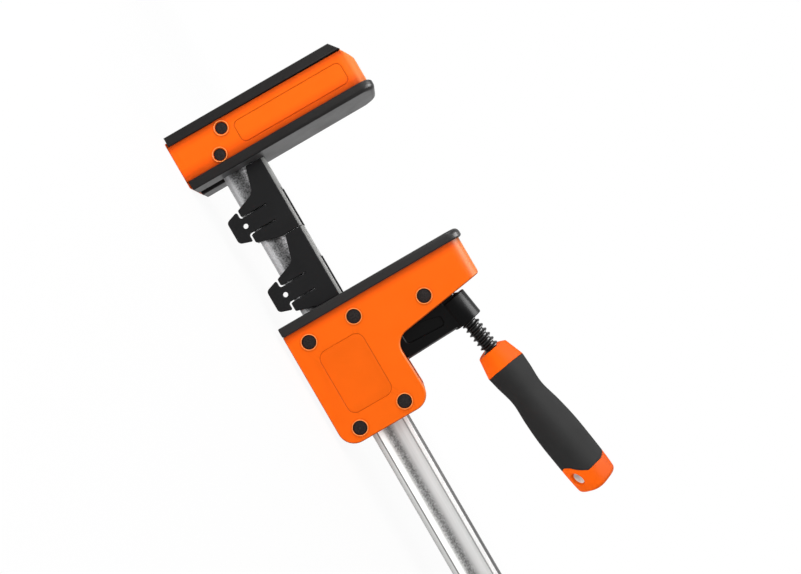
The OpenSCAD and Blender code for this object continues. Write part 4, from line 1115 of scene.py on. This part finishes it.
def bar_finish(bar):
    """Zinc with light and dark bands over its height, drawn along its length: partly the rolled channel's own dull
    stripes and partly painted reflections. Between the jaws it is darker and speckled: painted reflection of the
    dark parts round it and painted shade."""
    tree, point, tone, _ = finish("zinc_bar", bar.tint, 0.45, metallic=0.25, specular=0.25,
                                  amount=0.35)
    drawn = node(tree, "ShaderNodeMapping", {"Vector": point, "Scale": (12.0, 400.0, 400.0)})
    streak = noise(tree, drawn.outputs["Vector"], 1.0, 3.0)
    speck = noise(tree, point, 900.0)
    axis = node(tree, "ShaderNodeSeparateXYZ", {"Vector": point}).outputs
    height = span(tree, axis["Z"], BAR_Z0 * MM, BAR_Z1 * MM)

    def speckled(stops, cast, rough, strength):
        """Bands of grey over the height, with specks where the rough stops are over 0."""
        amount = calc(tree, "MULTIPLY", ramp(tree, height, rough), strength)
        bands = ramp(tree, height, stops, cast)
        return use(tree, "toned", Colour=bands, Mask=speck, Amount=amount).outputs["Colour"]

    # Bands away from the jaws: partly the channel's own stripes and partly painted reflection
    open_bands = speckled(
        [(0.0, 0.45), (0.09, 0.66), (0.105, 0.60), (0.12, 0.15), (0.135, 0.20), (0.15, 0.95),
         (0.25, 0.95), (0.30, 0.50), (0.36, 0.26), (0.43, 0.205), (0.50, 0.39), (0.60, 0.70),
         (0.74, 0.85), (0.815, 0.74), (0.83, 0.30), (0.845, 0.34), (0.86, 1.0), (0.935, 1.0),
         (0.95, 0.08)], (1.0, 1.0, 0.99),
        [(0.26, 0.0), (0.34, 1.0), (0.44, 1.0), (0.54, 0.0)], 2.4)
    # Between the jaws: darker bands of painted reflection and painted shade, with specks
    throat_shade = speckled(
        [(0.0, 0.42), (0.045, 0.34), (0.07, 0.43), (0.12, 0.52), (0.155, 0.25), (0.19, 0.15),
         (0.23, 0.115), (0.30, 0.09), (0.38, 0.09), (0.43, 0.15), (0.47, 0.34), (0.52, 0.60)],
        (1.0, 1.0, 1.02), [(0.13, 0.16), (0.20, 1.0), (0.55, 1.0), (0.70, 0.16)], 3.8)
    # Blend to the painted darkness between the jaws by the distance from the middle of the throat
    seat, past = low("jaw_clamp_pad", 0), 6.0
    middle = (FACE_X + seat) / 2
    off = calc(tree, "ABSOLUTE", calc(tree, "SUBTRACT", axis["X"], middle * MM))
    between_jaws = span(tree, off, (seat - middle) * MM, (JAW_X0 + past - middle) * MM, 1.0, 0.0)
    tree.links.new(blend(tree, between_jaws, open_bands, throat_shade), tone.inputs["Colour"])
    tree.links.new(streak, tone.inputs["Mask"])


class CLAMP_OT_finishes(bpy.types.Operator):
    """Finishes of every slot, put on the frame's own pieces"""
    bl_idname = "clamp.finishes"
    bl_label = "Finishes"

    def execute(self, context):
        c = context.scene.clamp
        for group in (moulded_grain, toned, lit_rim, painted_pad_shade):
            group()
        casing_finish(c.casing)
        # The pads' pale colour is a painted reflection on the clamping faces
        finish("pad_plastic", c.pads.tint, 0.36, specular=0.15, amount=0.3, bump=0.00003,
               pale=c.pads.face)
        finish("support_plastic", c.supports.tint, 0.4, specular=0.15, amount=0.4,
               pale=c.supports.strip)
        finish("core_casting", (0.30, 0.30, 0.29), 0.55, metallic=0.8, fine=900.0, bump=0.00008)
        # Its pale colour is the painted highlight on the rim along the arm's outer edge
        finish("black_casting", c.arm.tint, 0.33, specular=0.08, amount=0.3, fine=400.0,
               pale=(0.1, 0.1, 0.1))
        finish("black_screw", c.screw.tint, 0.3, specular=0.25, amount=0.4)
        finish("bright_steel", (0.55, 0.55, 0.54), 0.3, metallic=1.0, fine=1200.0)
        finish("dark_fastener", (0.022, 0.018, 0.0175), 0.5, metallic=0.1, specular=0.1, fine=900.0,
               broad=900.0, amount=2.6, bump=0.0001)
        handle_finish(c.handle)
        finish("grip_rubber", c.handle.soft, 0.7, specular=0.03, amount=0.25, bump=0.00004)
        bar_finish(c.bar)
        slots = {part["node"]: part["material_slot"] for part in frame["record"]["subparts"]}
        for name, obj in frame["nodes"].items():
            obj.data.materials.clear()
            obj.data.materials.append(finish_of(slots[name]))
        return {"FINISHED"}


def looked_at(tree):
    """One for camera, glossy and transmitted rays, and zero for the light that falls on faces."""
    path = node(tree, "ShaderNodeLightPath").outputs
    straight = calc(tree, "MAXIMUM", path["Is Camera Ray"], path["Is Glossy Ray"])
    return calc(tree, "MAXIMUM", straight, path["Is Transmission Ray"])


class CLAMP_OT_stage(bpy.types.Operator):
    """Camera, lamps, world and pale floor"""
    bl_idname = "clamp.stage"
    bl_label = "Stage"

    def execute(self, context):
        scene = context.scene
        stage = scene.clamp.stage
        scene.view_settings.view_transform = "Standard"
        eye = bpy.data.cameras.new("eye")
        eye.sensor_width = 36.0
        eye.lens = 34.265
        eye.clip_start = 0.01
        camera = bpy.data.objects.new("eye", eye)
        # The camera is rolled to lay the clamp aslant, and then turned a little
        roll = np.radians(59.5)
        right = np.array([np.cos(roll), 0, np.sin(roll)])
        down = np.array([np.sin(roll), 0, -np.cos(roll)])
        ahead = np.array([0.0, 1.0, 0.0])
        small = Vector((-0.0066, -0.0018, 0.0059))
        settle = np.array(Matrix.Rotation(small.length, 3, small))
        rows = settle @ np.stack([right, down, ahead])
        place = np.eye(4)
        place[:3, 0], place[:3, 1], place[:3, 2] = rows[0], -rows[1], -rows[2]
        place[:3, 3] = (-0.05843, -0.53906, 0.08807)
        camera.matrix_world = Matrix(place.tolist())
        scene.collection.objects.link(camera)
        scene.camera = camera

        world = bpy.data.worlds.new("studio")
        scene.world = world
        tree = emptied(world)
        level = span(tree, looked_at(tree), 0.0, 1.0, stage.ambient, 1.0)
        sky = node(tree, "ShaderNodeBackground", {"Color": WHITE, "Strength": level})
        node(tree, "ShaderNodeOutputWorld", {"Surface": sky.outputs["Background"]})

        def lamp(name, watts, size, at, to):
            light = bpy.data.lights.new(name, "AREA")
            light.energy, light.size = watts, size
            obj = bpy.data.objects.new(name, light)
            aim = (Vector(to) - Vector(at)).to_track_quat("-Z", "Y")
            obj.matrix_world = Matrix.Translation(at) @ aim.to_matrix().to_4x4()
            scene.collection.objects.link(obj)
            return obj

        lamp("key", stage.key, 0.8, (-0.55, -0.98, 0.75), (-0.05, 0, 0.06))
        lamp("side", stage.side, 0.35, (-0.93, -0.24, 0.58), (-0.05, 0, 0.07))
        glint = lamp("top", stage.top, 0.7, (0.04, -0.2, 1.08), (-0.02, 0, 0.09))
        glint.visible_diffuse = False
        spot = lamp("fill", stage.fill, 0.05, (0.07, -0.06, 0.035), (0.065, 0, 0.133))
        spot.visible_glossy = False
        lit = bpy.data.collections.new("lit by the fill")
        if "handle_hard_end" in bpy.data.objects:
            lit.objects.link(bpy.data.objects["handle_hard_end"])
        spot.light_linking.receiver_collection = lit

        ground = bpy.data.materials.new("pale floor")
        tree = emptied(ground)
        point = node(tree, "ShaderNodeTexCoord").outputs["Object"]
        shade = span(tree, noise(tree, point, 3.0), 0.0, 1.0, 0.94, 0.96)
        matt = node(tree, "ShaderNodeBsdfDiffuse", {"Color": shade})
        glow = node(tree, "ShaderNodeEmission", {"Color": WHITE, "Strength": 1.0})
        part = calc(tree, "MULTIPLY", looked_at(tree), 0.93)
        mix = node(tree, "ShaderNodeMixShader", {0: part, 1: matt.outputs[0], 2: glow.outputs[0]})
        fade = span(tree, vector(tree, "LENGTH", point), 0.3, 1.2, interpolation_type="SMOOTHSTEP")
        clear = node(tree, "ShaderNodeBsdfTransparent")
        mix = node(tree, "ShaderNodeMixShader", {0: fade, 1: mix.outputs[0], 2: clear.outputs[0]})
        node(tree, "ShaderNodeOutputMaterial", {"Surface": mix.outputs[0]})
        half = 1.5
        floor_mesh = bpy.data.meshes.new("floor")
        corners = [(-half, -half, 0), (half, -half, 0), (half, half, 0), (-half, half, 0)]
        floor_mesh.from_pydata(corners, [], [(0, 1, 2, 3)])
        floor_mesh.materials.append(ground)
        floor = bpy.data.objects.new("floor", floor_mesh)
        scene.collection.objects.link(floor)
        return {"FINISHED"}


STEPS = (CLAMP_OT_finishes, CLAMP_OT_casings, CLAMP_OT_heads, CLAMP_OT_pads, CLAMP_OT_bar,
         CLAMP_OT_supports, CLAMP_OT_arm, CLAMP_OT_screw, CLAMP_OT_handle, CLAMP_OT_stage)


class CLAMP_PT_panel(bpy.types.Panel):
    """Sidebar panel with the clamp's steps and settings"""
    bl_idname = "CLAMP_PT_panel"
    bl_label = "Parallel clamp"
    bl_space_type = "VIEW_3D"
    bl_region_type = "UI"
    bl_category = "Clamp"

    def draw(self, context):
        for step in STEPS:
            self.layout.operator(step.bl_idname)
        for name in GROUPS:
            box = self.layout.box()
            box.label(text=name.capitalize())
            group = getattr(context.scene.clamp, name)
            for field in type(group).__annotations__:
                box.prop(group, field)


CLASSES = (*GROUPS.values(), ClampSettings, *STEPS, CLAMP_PT_panel)


def register():
    for cls in CLASSES:
        bpy.utils.register_class(cls)
    bpy.types.Scene.clamp = PointerProperty(type=ClampSettings)


def unregister():
    del bpy.types.Scene.clamp
    for cls in reversed(CLASSES):
        bpy.utils.unregister_class(cls)


def main():
    register()
    for step in STEPS:
        group, name = step.bl_idname.split(".")
        getattr(getattr(bpy.ops, group), name)()


if __name__ == "__main__":
    main()
